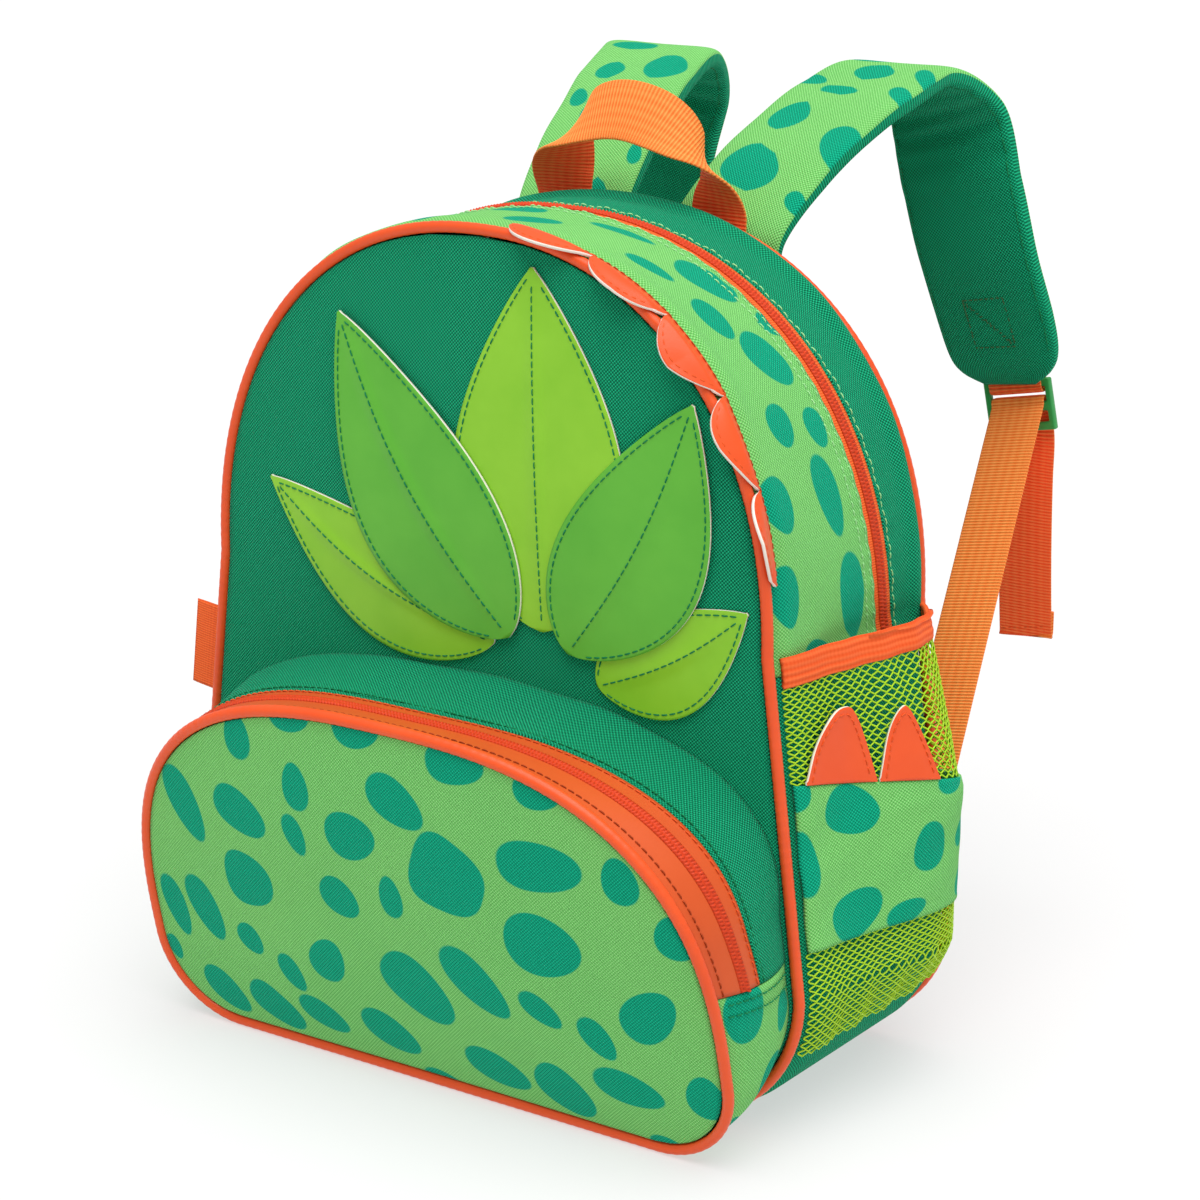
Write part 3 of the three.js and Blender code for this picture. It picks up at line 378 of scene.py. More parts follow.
dark_metal = new_material("dark_nickel_zinc", {"Metallic": 1.0})
rubbed = uneven(dark_metal, METAL_PATCH)
dull = add_node(dark_metal, "ShaderNodeMapRange", {"Value": rubbed, **METAL_ROUGHNESS})
wire(dark_metal, {
    "Base Color": two_tones(dark_metal, rubbed, linear("#3E3A36"), linear("#8A847B")),
    "Roughness": dull.outputs["Result"],
})
print("made plastic and metal")

# %% [markdown]
# ## Outlines and walls of the bag
# The front and back panels are arches: a flat foot, rounded corners, straight sides and a round crown.
# A turn runs round the arch from 0 at the middle of the foot, by the right, to 0.5 at the crown. A formula
# with seven sizes gives each arch; tracing it by hand would take hundreds of points. Sizes are
# millimetres, as in the CAD.

# %% The arch
SEAM_INSET = 2.6
GAP = 0.3
ARCH_STEPS = 240


def distances(places):
    """Distance along a line of points, from its first one."""
    return np.append(0, np.cumsum(np.linalg.norm(np.diff(places, axis=0), axis=1)))


def arch(low, top, shoulder, corner, power, height, lift):
    """An arch outline as columns: turn, place x and z, and outward normal."""
    sweep = np.linspace(0, math.pi / 2, ARCH_STEPS)
    flat = low - corner
    foot = np.column_stack([np.linspace(0, flat, ARCH_STEPS), np.zeros(ARCH_STEPS)])
    bend = np.column_stack([flat + corner * np.sin(sweep), corner - corner * np.cos(sweep)])
    crown_x = top * np.cos(sweep).clip(0) ** (2 / power)
    crown_z = shoulder + (height - shoulder) * np.sin(sweep) ** (2 / power)
    right = np.vstack([foot[:-1], bend, np.column_stack([crown_x, crown_z])])
    whole = np.vstack([right, right[-2::-1] * [-1, 1]])
    run = distances(whole)
    turn = np.linspace(0, 1, 10 * ARCH_STEPS + 1)
    x = np.interp(turn * run[-1], run, whole[:, 0])
    z = np.interp(turn * run[-1], run, whole[:, 1])
    dx = np.gradient(x)
    dz = np.gradient(z)
    size = np.hypot(dx, dz)
    columns = {"turn": turn, "x": x, "z": z + lift, "nx": dz / size, "nz": -dx / size}
    return {**columns, "length": run[-1], "foot": flat / run[-1]}


def on_arch(outline, turn):
    """Place and outward normal at a turn: x, z, nx, nz."""
    turn = np.mod(turn, 1.0)
    return [np.interp(turn, outline["turn"], outline[column]) for column in ("x", "z", "nx", "nz")]


def turn_at_angle(outline, middle, angle):
    """The turn at which a ray from the middle crosses the outline; the angle counts from +X."""
    swept = np.unwrap(np.arctan2(outline["z"] - middle, outline["x"]))
    wanted = np.mod(angle + math.pi / 2, 2 * math.pi) - math.pi / 2
    return np.interp(wanted, swept, outline["turn"])


body_rim = arch(low=142, top=126, shoulder=187, corner=56, power=2.17, height=330, lift=3)
pocket_rim = arch(low=135, top=135, shoulder=36, corner=34.5, power=2.68, height=155.6, lift=2.7)
pocket_seam = arch(low=138.5, top=134, shoulder=86, corner=52, power=2.5, height=158, lift=6.4)
print("round the body:", round(body_rim["length"]), "mm")

# %% [markdown]
# ### The wall between the panels
# The wall flares a little towards the back. A point on it is told by its turn round the arch, its depth
# and how far it stands out. Every strip, seam and pocket on the wall is set out in these three numbers,
# so all of them follow one bag and their seams meet.

# %% The body's wall
HALF_DEPTH = 53.0
BACK_FLARE = 0.044
BACK_DROP = 0.018
RIM_LIFT = 3.0
GUSSET_SWELL = 3.0
GUSSET_HEM = 10.0
GUSSET_DIP = 1.0


def points(x, y, z):
    """Three columns as rows of points."""
    return np.stack(np.broadcast_arrays(x, y, z), axis=-1).astype(float)


def body_point(turn, y, out):
    """A point on the wall: turn round the arch, depth y, and distance outside the rim."""
    x, z, nx, nz = on_arch(body_rim, turn)
    back = (y + HALF_DEPTH) / (2 * HALF_DEPTH)
    wide = x * (1 + BACK_FLARE * back) + nx * out
    return points(wide, y, RIM_LIFT + (z - RIM_LIFT) * (1 - BACK_DROP * back) + nz * out)


def gusset_out(y):
    """How far the wall stands outside the rim: it rolls in to the seams and swells between them."""
    hem = np.clip((HALF_DEPTH - SEAM_INSET - np.abs(y)) / GUSSET_HEM, 0, 1)
    return -GUSSET_DIP + (GUSSET_SWELL + GUSSET_DIP) * np.sin(hem * math.pi / 2)


def turn_at_height(z):
    """The turn on the right side at which the front rim has a height."""
    side = (body_rim["turn"] >= body_rim["foot"]) & (body_rim["turn"] <= 0.5)
    return np.interp(z, body_rim["z"][side], body_rim["turn"][side])


# %% [markdown]
# ### Uneven cloth
# Filled cloth never lies quite even. Three long waves that cross each other give that, with a height and
# length for each cloth. A noise texture would do as well, but waves repeat exactly on every computer.

# %% Slow waves
# Height and length of a cloth's waves in millimetres, and where they start
WAVES = {
    "front_panel": (0.6, 150, 0.4), "back_panel": (0.5, 120, 1.1), "gusset": (0.5, 90, 0.8),
    "pocket_face": (0.8, 110, 0.2), "pocket_top": (0.7, 80, 0.3), "pocket_low": (0.6, 70, 1.9),
    "side_band": (0.7, 46, 2.2), "strap": (0.5, 70, 0.7),
}
# Each wave's share of the two distances, its length against the cloth's, and its start against the cloth's
CROSSING = [(0.8, 0.55, 1.0, 1.0), (-0.35, 0.9, 0.63, 1.7), (0.6, -0.75, 0.41, 2.9)]


def ripple(a, b, cloth):
    """The slow unevenness of a cloth, in millimetres, over two distances."""
    height, length, start = WAVES[cloth]
    waves = [
        np.sin(2 * math.pi * (share_a * a + share_b * b) / (longer * length) + later * start)
        for share_a, share_b, longer, later in CROSSING
    ]
    return height * sum(waves) / len(waves)


# %% [markdown]
# ## Bending a flat grid
# A sewn piece starts as a flat grid, as a cutter lays out cloth. Its points are then moved to where the
# piece lies, and its flat cut is kept as a UV map so that weave and print follow the cloth. Solidify gives
# the cloth its thickness inwards. The alternative, drawing each solid by hand, would lose the flat cut.

# %% Tools for pieces
WELD = 0.02 * MM
BODY_MIDDLE = (0, 0, 160)


def new_piece(name, mesh, materials, nodes=(), body="bag"):
    """An object for a mesh, riding on a body and standing for CAD nodes."""
    for material in materials:
        mesh.materials.append(material)
    mesh.shade_smooth()
    piece = bpy.data.objects.new(name, mesh)
    bpy.context.scene.collection.objects.link(piece)
    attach(piece, body)
    if nodes:
        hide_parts(*nodes)
    return piece


def bent_mesh(name, cells, place, cut, inside=None, spots=None, second=None):
    """A flat grid of cells across and along, bent by place(u, v), with its flat cut kept.

    Faces turn away from the point inside; without one the mesh is closed and its normals are worked out.
    spots is a chart of printed spots, and second(u, v) is true where the second material shows.
    """
    bm = bmesh.new()
    bmesh.ops.create_grid(bm, x_segments=cells[0], y_segments=cells[1], size=0.5)
    shares = np.array([vert.co.xy for vert in bm.verts]) + 0.5
    mesh = bpy.data.meshes.new(name)
    bm.to_mesh(mesh)
    u, v = shares.T
    flat = cut(u, v)
    mesh.vertices.foreach_set("co", (place(u, v) * MM).ravel())
    corners = np.zeros(len(mesh.loops), dtype=int)
    mesh.loops.foreach_get("vertex_index", corners)
    mesh.uv_layers.new(name="cut").data.foreach_set("uv", (flat[corners] * MM).ravel())
    if spots is not None:
        edge = mesh.attributes.new("spot", "FLOAT", "POINT")
        edge.data.foreach_set("value", spot_edges(flat, spots) * MM)
    if second is not None:
        shown = second(u, v)[corners].reshape(-1, 4).mean(axis=1) > 0.5
        mesh.polygons.foreach_set("material_index", shown.astype(int))
    bm.clear()
    bm.from_mesh(mesh)
    bmesh.ops.remove_doubles(bm, verts=bm.verts, dist=WELD)
    bmesh.ops.dissolve_degenerate(bm, edges=bm.edges, dist=WELD)
    if inside is None:
        bmesh.ops.recalc_face_normals(bm, faces=bm.faces)
    else:
        middle = Vector(inside) * MM
        outward = sum(f.normal.dot(f.calc_center_median() - middle) * f.calc_area() for f in bm.faces)
        if outward < 0:
            bmesh.ops.reverse_faces(bm, faces=bm.faces)
    bm.to_mesh(mesh)
    bm.free()
    return mesh


def thicken(piece, wall, edge_material=0):
    """Gives a sheet its thickness inwards; a second material may show on its cut edge."""
    solid = piece.modifiers.new("cloth_thickness", "SOLIDIFY")
    solid.thickness = wall * MM
    solid.offset = -1.0
    solid.use_even_offset = False
    solid.material_offset_rim = edge_material


def sewn_piece(
    name, node, cells, place, cut, looks, wall, inside=BODY_MIDDLE, spots=None, edge_material=0,
):
    """A bent sheet as a finished piece: its mesh, looks and thickness, standing for one CAD node."""
    mesh = bent_mesh(name, cells, place, cut, inside, spots)
    piece = new_piece(name, mesh, looks, [node])
    thicken(piece, wall, edge_material)
    print(name, len(mesh.polygons), "faces")
    return piece


# %% [markdown]
# ### Charting the spots
# A chart lists each spot on the flat cut: its middle, its half length and half width, its tilt from the
# first axis, and how square it is (2 is an ellipse). One end is a little fuller than the other.

# %% Distance to the nearest spot
SPOT_EGG = 0.16
NO_SPOT_NEAR = 99.0


def spot_edges(flat, chart):
    """Millimetres from each point to the edge of its nearest spot, below zero inside."""
    nearest = np.full(len(flat), NO_SPOT_NEAR)
    for across, along, half_long, half_wide, tilt, square in chart:
        turned = math.radians(tilt)
        a = flat[:, 0] - across
        b = flat[:, 1] - along
        lengthwise = (a * math.cos(turned) + b * math.sin(turned)) / half_long
        crosswise = (b * math.cos(turned) - a * math.sin(turned)) / half_wide
        crosswise = crosswise * (1 + SPOT_EGG * lengthwise)
        radius = (np.abs(lengthwise) ** square + np.abs(crosswise) ** square) ** (1 / square)
        nearest = np.minimum(nearest, (radius - 1) * min(half_long, half_wide))
    return nearest


# %% [markdown]
# ## Front panel
# A domed arch of plain green cloth, held tight by the piping round it. Rows of the grid follow the arch
# from foot to crown, so the edge is smooth and there is no pole in the middle of the panel.

# %% Panels inside a rim
PANEL_CENTRE_Z = 165.0
POCKET_CENTRE_Z = 72.0
PANEL_THICKNESS = 1.8
FRONT_DOME = 7.0
ROW_LEVEL_SHARE = 0.1


def panel_turn(outline, v):
    """The turn of a panel's row. Rows are spread mostly by height, so that none is a sliver at the crown."""
    half = (outline["turn"] >= outline["foot"]) & (outline["turn"] <= 0.5)
    climb = np.abs(np.diff(outline["z"][half])) + ROW_LEVEL_SHARE * np.abs(np.diff(outline["x"][half]))
    climbed = np.append(0, np.cumsum(climb))
    return np.interp(v * climbed[-1], climbed, outline["turn"][half])


def panel_point(outline, u, v):
    """A place on a panel inside the seam allowance: u across, v from the foot to the crown."""
    x, z, nx, nz = on_arch(outline, panel_turn(outline, v))
    return np.maximum(x - nx * SEAM_INSET, 0) * (2 * u - 1), z - nz * SEAM_INSET


def fullness(outline, middle, x, z):
    """How far a panel swells: 1 in its middle, 0 at its seam."""
    turn = turn_at_angle(outline, middle, np.arctan2(z - middle, x))
    edge_x, edge_z, nx, nz = on_arch(outline, turn)
    edge = np.hypot(edge_x - nx * SEAM_INSET, edge_z - nz * SEAM_INSET - middle)
    return np.clip(1 - (np.hypot(x, z - middle) / edge) ** 2, 0, 1)


def front_face_y(x, z):
    """Depth of the front panel's outer face."""
    full = fullness(body_rim, PANEL_CENTRE_Z, x, z)
    return -HALF_DEPTH - PANEL_THICKNESS / 2 - FRONT_DOME * full


def front_panel_place(u, v):
    x, z = panel_point(body_rim, u, v)
    soft = fullness(body_rim, PANEL_CENTRE_Z, x, z) * ripple(x, z, "front_panel")
    return points(x, front_face_y(x, z) + soft, z)


def front_panel_cut(u, v):
    return np.column_stack(panel_point(body_rim, u, v))


front_panel = sewn_piece(
    "front_panel_cloth", "front_panel", (70, 96), front_panel_place, front_panel_cut,
    [green_cloth], PANEL_THICKNESS,
)

# %% [markdown]
# ## Padded back panel
# Foam between two layers of cloth, sewn into the rear seam, so it is thick in the middle and pinched at
# the edge. One long grid is folded at the crown, so its two halves share their edge as one closed pad;
# a thick sheet would have kept its thickness right up to the seam.

# %% Back panel
BACK_PAD = 5.0
BACK_DOME = 3.0
BACK_EDGE = 1.6
PINCH = 0.16


def back_place(u, v):
    """Half of the grid is the outer face, the other half folds round to the inner face."""
    outer = v < 0.5
    up = np.where(outer, 2 * v, 2 - 2 * v)
    x, z = panel_point(body_rim, u, up)
    full = fullness(body_rim, PANEL_CENTRE_Z, x, z)
    pinched = np.clip(full / PINCH, 0, 1) ** 0.5
    inner_y = HALF_DEPTH - BACK_PAD / 2 + BACK_DOME * full
    thick = BACK_EDGE + (BACK_PAD - BACK_EDGE + ripple(x, z, "back_panel")) * pinched
    y = np.where(outer, inner_y + thick, inner_y)
    return points(x * (1 + BACK_FLARE), y, RIM_LIFT + (z - RIM_LIFT) * (1 - BACK_DROP))


def back_cut(u, v):
    return np.column_stack(panel_point(body_rim, u, np.where(v < 0.5, 2 * v, 2 - 2 * v)))


mesh = bent_mesh("back_panel", (70, 180), back_place, back_cut)
back_panel = new_piece("back_panel_pad", mesh, [green_cloth], ["back_panel"])
print("back panel:", len(mesh.polygons), "faces")

# %% [markdown]
# ## Piping
# A cord wrapped in vinyl and sewn into each panel's seam. The needle pulls the vinyl in at each stitch, so
# the bead is not quite even. A curve with a round bevel would be shorter to write, but it would be even;
# a grid bent round a circle and along the rim can follow the stitches, and closes on itself both ways.

# %% Piping along a rim
PIPING_RADIUS = 2.2
PIPING_SIDES = 12
PUCKER = 0.025
PUCKER_PITCH = 4.0
PUCKER_STEPS = 4
POCKET_BASE_DEPTH = 31.0
POCKET_TILT = 0.222
POCKET_LIFT = 2.7


def pocket_rim_y(z):
    """Depth of the pocket's rim: the pocket stands out further at its top."""
    return -HALF_DEPTH - POCKET_BASE_DEPTH - POCKET_TILT * (z - POCKET_LIFT)


def piping(name, node, outline, centre, depth):
    """A bead along a rim: centre(turn) is its core, depth the direction through the seam."""
    def place(u, v):
        _, _, nx, nz = on_arch(outline, v)
        around = 2 * math.pi * u
        pulled = np.sin(2 * math.pi * v * outline["length"] / PUCKER_PITCH)
        radius = PIPING_RADIUS * (1 + PUCKER * pulled)
        rise = (radius * np.cos(around))[:, None] * points(nx, 0, nz)
        return centre(v) + rise + (radius * np.sin(around))[:, None] * np.array(depth)

    def cut(u, v):
        return np.column_stack([u * 2 * math.pi * PIPING_RADIUS, v * outline["length"]])

    steps = int(outline["length"] / (PUCKER_PITCH / PUCKER_STEPS))
    made = bent_mesh(name, (PIPING_SIDES, steps), place, cut)
    new_piece(name, made, [orange_vinyl], [node])
    print(name, len(made.polygons), "faces")


def pocket_core(turn):
    x, z, _, _ = on_arch(pocket_rim, turn)
    return points(x, pocket_rim_y(z), z)


seam_through = Vector((0, 1, POCKET_TILT)).normalized()
piping("front_piping_bead", "front_piping", body_rim, lambda t: body_point(t, -HALF_DEPTH, 0), (0, 1, 0))
piping("rear_piping_bead", "rear_piping", body_rim, lambda t: body_point(t, HALF_DEPTH, 0), (0, 1, 0))
piping("pocket_piping_bead", "pocket_piping", pocket_rim, pocket_core, seam_through)

# %% [markdown]
# ## The gusset and its zip
# The long wall between the panels: a spotted front band, the zip, a plain rear band, and below the zip a
# single plain strip that forms the lower sides and the base. Each strip is a grid between two depths on
# the wall. The bands swell between their seams and pucker slightly along the topstitching beside the zip.

# %% Bands of the gusset
CLOTH = 2.0
VINYL = 1.2
GUSSET_END_Z = 182.0
ZIP_TOP_Y = 3.0
ZIP_END_Y = 22.0
HALF_TAPE = 5.5
ARC_END = float(turn_at_height(GUSSET_END_Z))

# Printed spots on the front band: depth y, distance from the crown, half sizes, tilt, squareness
BAND_SPOTS = [
    (-12, 36, 13, 3.5, 80, 2), (-29, 60, 10, 4, 75, 2), (-8, 72, 13, 8, 60, 2.3),
    (-25, 89, 10, 6.5, 75, 2), (4, 96, 6, 5, 60, 2), (-11, 109, 13, 8.5, 55, 2.2),
    (-24, 134, 8.5, 7, 80, 2), (-3, 138, 8, 6, 80, 2), (-8, 163, 16, 7, 80, 2),
    (-40, 161, 11, 8, 75, 2), (-1, 202, 17, 8, 85, 2), (-43, 194, 12, 7, 80, 2),
    (-24, 221, 10, 7, 20, 2), (-32, 10, 11, 6, 60, 2), (-14, -8, 12, 7, 95, 2.2),
    (-38, -30, 9, 6, 70, 2), (-10, -42, 13, 6, 110, 2), (-30, -66, 12, 8, 95, 2.2),
    (-4, -84, 9, 6, 80, 2), (-22, -104, 13, 8, 115, 2), (-42, -120, 10, 6, 90, 2),
    (-6, -128, 12, 7, 100, 2), (-28, -150, 12, 8, 70, 2.2), (0, -172, 14, 7, 95, 2),
    (-38, -186, 12, 8, 100, 2), (-14, -208, 12, 8, 80, 2),
]


def zip_middle(turn):
    """Depth of the zip's middle: it drifts back from the crown to each lower end."""
    return ZIP_TOP_Y + (ZIP_END_Y - ZIP_TOP_Y) * np.abs(turn - 0.5) / (0.5 - ARC_END)


def arc_turn(v):
    return ARC_END + (1 - 2 * ARC_END) * v


def front_seam(turn):
    return np.full_like(turn, -HALF_DEPTH + SEAM_INSET)


def rear_seam(turn):
    return np.full_like(turn, HALF_DEPTH - SEAM_INSET)


def from_crown(turn):
    """Distance along the wall from the crown, to the right."""
    return (0.5 - turn) * body_rim["length"]


def band_piece(name, node, cells, y_low, y_high, turn_of, raised, wall, looks, spots=None):
    """A strip of the wall between two depths, each a function of the turn."""
    def depth(u, v):
        turn = turn_of(v)
        low = y_low(turn)
        return turn, low + (y_high(turn) - low) * u

    def place(u, v):
        turn, y = depth(u, v)
        return body_point(turn, y, raised(turn, y))

    def cut(u, v):
        turn, y = depth(u, v)
        return np.column_stack([y, from_crown(turn)])

    return sewn_piece(name, node, cells, place, cut, looks, wall, spots=spots)


# %% The bands and the base
ZIP_PUCKER = {"height": 0.35, "pitch": 11.0, "row": 2.0, "fade": 4.0}
REAR_ROLL = {"rise": 3.4, "y": 45.0, "depth": 5.0}
SHOULDER = {"rise": 2.4, "turn": 0.085, "spread": 0.045, "y": -45.0, "depth": 5.0}


def band_raise(turn, y):
    """Swell, unevenness, puckers beside the topstitching, and rolls of cloth beside the two pipings."""
    along = from_crown(turn)
    from_row = np.abs(np.abs(y - zip_middle(turn)) - HALF_TAPE - ZIP_PUCKER["row"])
    wave = np.sin(2 * math.pi * along / ZIP_PUCKER["pitch"])
    pucker = ZIP_PUCKER["height"] * wave * np.exp(-from_row / ZIP_PUCKER["fade"])
    rear_roll = REAR_ROLL["rise"] * np.exp(-((y - REAR_ROLL["y"]) / REAR_ROLL["depth"]) ** 2)
    past = (np.abs(turn - 0.5) - SHOULDER["turn"]) / SHOULDER["spread"]
    shoulder = SHOULDER["rise"] * np.exp(-past ** 2 - ((y - SHOULDER["y"]) / SHOULDER["depth"]) ** 2)
    return gusset_out(y) + pucker + ripple(y, along, "gusset") + rear_roll + shoulder


front_band = band_piece(
    "gusset_front_band_cloth", "gusset_front_band", (34, 260),
    front_seam, lambda t: zip_middle(t) - HALF_TAPE - GAP,
    arc_turn, band_raise, CLOTH, [spotted_cloth], BAND_SPOTS,
)
rear_band = band_piece(
    "gusset_rear_band_cloth", "gusset_rear_band", (22, 260),
    lambda t: zip_middle(t) + HALF_TAPE + GAP, rear_seam,
    arc_turn, band_raise, CLOTH, [green_cloth],
)
END_TURN = 0.0005
base = band_piece(
    "base_gusset_cloth", "base_gusset", (32, 200),
    front_seam, rear_seam, lambda v: (ARC_END - END_TURN) * (2 * v - 1),
    lambda t, y: gusset_out(y), CLOTH, [green_cloth],
)

# %% [markdown]
# ## Zip tapes and coils
# A coil zip is two woven tapes, each with a nylon spiral sewn along its edge; closed, the two spirals mesh
# into two rows of small crowns. The coil is a grid whose height follows those crowns, offset by half a
# pitch from row to row. Single spirals would take far more faces and look the same from here.

# %% Main zip
COIL_WIDTH = 5.5
COIL_HEIGHT = 1.2
COIL_PITCH = 1.5
COIL_DIP = 0.45
COIL_SPREAD = 1.04
COIL_FULLNESS = 0.6
COIL_WALL = 0.3
COIL_CELLS = 8
COIL_STEPS = 4
TAPE_WALL = 1.2


def coil_profile(u, along):
    """Height of the meshed coil, from its share across and its distance along in millimetres."""
    side = 2 * u - 1
    row = np.sin(math.pi * np.clip(np.abs(side) * COIL_SPREAD, 0, 1)) ** COIL_FULLNESS
    offset = np.where(side > 0, math.pi, 0.0)
    crown = 1 - COIL_DIP + COIL_DIP * np.cos(2 * math.pi * along / COIL_PITCH + offset)
    return COIL_HEIGHT * row * crown


band_piece(
    "main_zip_tape_cloth", "main_zip_tape", (8, 220),
    lambda t: zip_middle(t) - HALF_TAPE, lambda t: zip_middle(t) + HALF_TAPE,
    arc_turn, lambda t, y: gusset_out(y) - GAP, TAPE_WALL, [zip_cloth],
)


def main_coil_place(u, v):
    turn = arc_turn(v)
    y = zip_middle(turn) + (u - 0.5) * COIL_WIDTH
    return body_point(turn, y, gusset_out(y) + coil_profile(u, from_crown(turn)))


def main_coil_cut(u, v):
    return np.column_stack([u * COIL_WIDTH, from_crown(arc_turn(v))])


coil_length = 2 * float(from_crown(ARC_END))
sewn_piece(
    "main_zip_coil_nylon", "main_zip_coil", (COIL_CELLS, int(COIL_STEPS * coil_length / COIL_PITCH)),
    main_coil_place, main_coil_cut, [coil_nylon], COIL_WALL,
)

# %% [markdown]
# ## Front pocket
# The pocket's spotted face leans forward from its foot and is a little full. It is made as the front panel
# is, inside a rim of its own.

# %% Pocket face
POCKET_DOME = 9.0
POCKET_MIDDLE = (0, -60, 72)

# Printed spots on the pocket face: across, up, half sizes, tilt, squareness
FACE_SPOTS = [
    (-70, 141, 10, 6.5, 95, 2), (-43, 155, 10, 7, 0, 2), (-11, 156, 11, 8, 5, 2),
    (34, 151, 13, 8, 5, 2.2), (69, 147, 10, 7, 0, 2), (-104, 104, 17, 8, -65, 2),
    (-73, 108, 14, 9, -25, 2.2), (-42, 126, 10, 6.5, 95, 2), (-45, 105, 9, 5, -70, 2),
    (-17, 111, 12, 10, 10, 2), (6, 130, 14, 9, -30, 2), (27, 104, 16.5, 15.5, -20, 2.8),
    (68, 117, 18, 10, 5, 2.2), (101, 118, 9.5, 7.5, 100, 2), (66, 84, 16.5, 13, 0, 2),
    (121, 99, 9, 8, 90, 2), (-121, 53, 14, 6.5, -75, 2), (-103, 57, 15, 8, -65, 2),
    (-74, 78, 12.5, 12, 0, 2.3), (-27, 82, 10, 8, -30, 2), (-1, 89, 9, 5.5, 95, 2),
    (-80, 49, 7.5, 6, -45, 2), (-60, 39, 9, 5.5, -60, 2), (-39, 51, 10.5, 8.5, 60, 2),
    (4, 49, 18, 12, -40, 2.2), (33, 60, 18, 9, -42, 2), (61, 55, 10, 5.5, -35, 2),
    (84, 48, 10, 6, -50, 2), (107, 63, 14, 9.5, 45, 2), (-102, 18, 13, 8, -35, 2),
    (-75, 18, 14, 8.5, -35, 2.2), (-50, 21, 12, 7, -25, 2), (-17, 22, 14, 8.5, -25, 2),
    (33, 19, 15, 8, -15, 2), (64, 18, 14, 10, -35, 2.2), (94, 28, 15, 7.5, -10, 2),
    (126, 32, 9.5, 8, 90, 2), (3, 3, 10, 5, -10, 2), (105, 5, 7, 4, 0, 2), (-128, 31, 6, 4, -70, 2),
]


def face_place(u, v):
    x, z = panel_point(pocket_rim, u, v)
    full = fullness(pocket_rim, POCKET_CENTRE_Z, x, z)
    soft = full * ripple(x, z, "pocket_face")
    return points(x, pocket_rim_y(z) - PANEL_THICKNESS / 2 - POCKET_DOME * full + soft, z)


def face_cut(u, v):
    return np.column_stack(panel_point(pocket_rim, u, v))


pocket_face = sewn_piece(
    "pocket_face_cloth", "pocket_face", (132, 114), face_place, face_cut,
    [spotted_cloth], PANEL_THICKNESS, POCKET_MIDDLE, FACE_SPOTS,
)

# %% [markdown]
# ### The pocket's wall
# A plain top gusset, a vinyl band with the zip, and below the zip's ends a spotted lower gusset. The wall
# is told by an angle round the pocket and a reach from the panel to the face. It sags at the top and
# swells at the sides. Lofting the two outlines would give the same wall without its flat cut.

# %% Setting out the pocket's wall
POCKET_SIDE_SWELL = 5.0
POCKET_TOP_SAG = 5.0
POCKET_ZIP_RIGHT = math.radians(1.3)
POCKET_ZIP_LEFT = math.radians(-4)
POCKET_ZIP_START = 0.53
POCKET_COIL_AT = 0.72
POCKET_SWELL_POWER = 6
COIL_HALF = 0.05
COIL_RISE = 0.7

# Printed spots on the lower gusset: distance from the panel, distance along from the right zip end
GUSSET_SPOTS = [
    (7, 16, 8, 5, 70, 2), (31, 9, 12, 9, 95, 2.2), (12, 42, 11, 7, 80, 2), (27, 64, 10, 6, 110, 2),
    (8, 84, 9, 6, 70, 2), (24, 104, 11, 7, 90, 2), (10, 132, 10, 6, 80, 2), (22, 158, 11, 7, 100, 2),
    (8, 186, 10, 6, 90, 2), (22, 214, 10, 7, 70, 2), (12, 242, 11, 6, 100, 2), (24, 270, 10, 7, 80, 2),
    (8, 296, 10, 6, 90, 2), (28, 316, 11, 7, 100, 2), (12, 340, 11, 7, 80, 2), (30, 364, 10, 7, 95, 2),
    (10, 384, 9, 6, 70, 2), (34, 396, 9, 6, 60, 2),
]


def pocket_point(angle, reach, rise):
    """The pocket's wall: angle round it, reach from the panel (0) to the face (1), and a rise."""
    seam_x, seam_z, _, _ = on_arch(pocket_seam, turn_at_angle(pocket_seam, POCKET_CENTRE_Z, angle))
    rim_x, rim_z, _, _ = on_arch(pocket_rim, turn_at_angle(pocket_rim, POCKET_CENTRE_Z, angle))
    seam_y = front_face_y(seam_x, seam_z) - GAP
    rim_y = pocket_rim_y(rim_z) + SEAM_INSET
    sag = POCKET_TOP_SAG * np.sin(angle).clip(0)
    bend = (POCKET_SIDE_SWELL * np.cos(angle) ** POCKET_SWELL_POWER - sag) * np.sin(math.pi * reach) + rise
    x = seam_x + (rim_x - seam_x) * reach + np.cos(angle) * bend
    z = seam_z + (rim_z - seam_z) * reach + np.sin(angle) * bend
    return points(x, seam_y + (rim_y - seam_y) * reach, z)


def walked(angles):
    """Distance along the pocket's wall for a run of angles."""
    return distances(pocket_point(angles, np.full_like(angles, 0.5), 0))


def at_share(share, values):
    """The value at a share of the way along a list of values."""
    return np.interp(share, np.linspace(0, 1, len(values)), values)


ZIP_END_GAP = 0.004
ANGLES = 400
TOP_ANGLES = np.linspace(POCKET_ZIP_RIGHT, math.pi - POCKET_ZIP_LEFT, ANGLES)
LOW_ANGLES = np.linspace(POCKET_ZIP_RIGHT - ZIP_END_GAP, -math.pi - POCKET_ZIP_LEFT + ZIP_END_GAP, ANGLES)
TOP_RUN = walked(TOP_ANGLES)
LOW_RUN = walked(LOW_ANGLES)
print("round the pocket:", round(TOP_RUN[-1]), "mm over the top,", round(LOW_RUN[-1]), "mm below")

# %% Pocket walls
POCKET_DEPTH = 40.0
BAND_SWELL = 0.6
BAND_GAP = 0.008


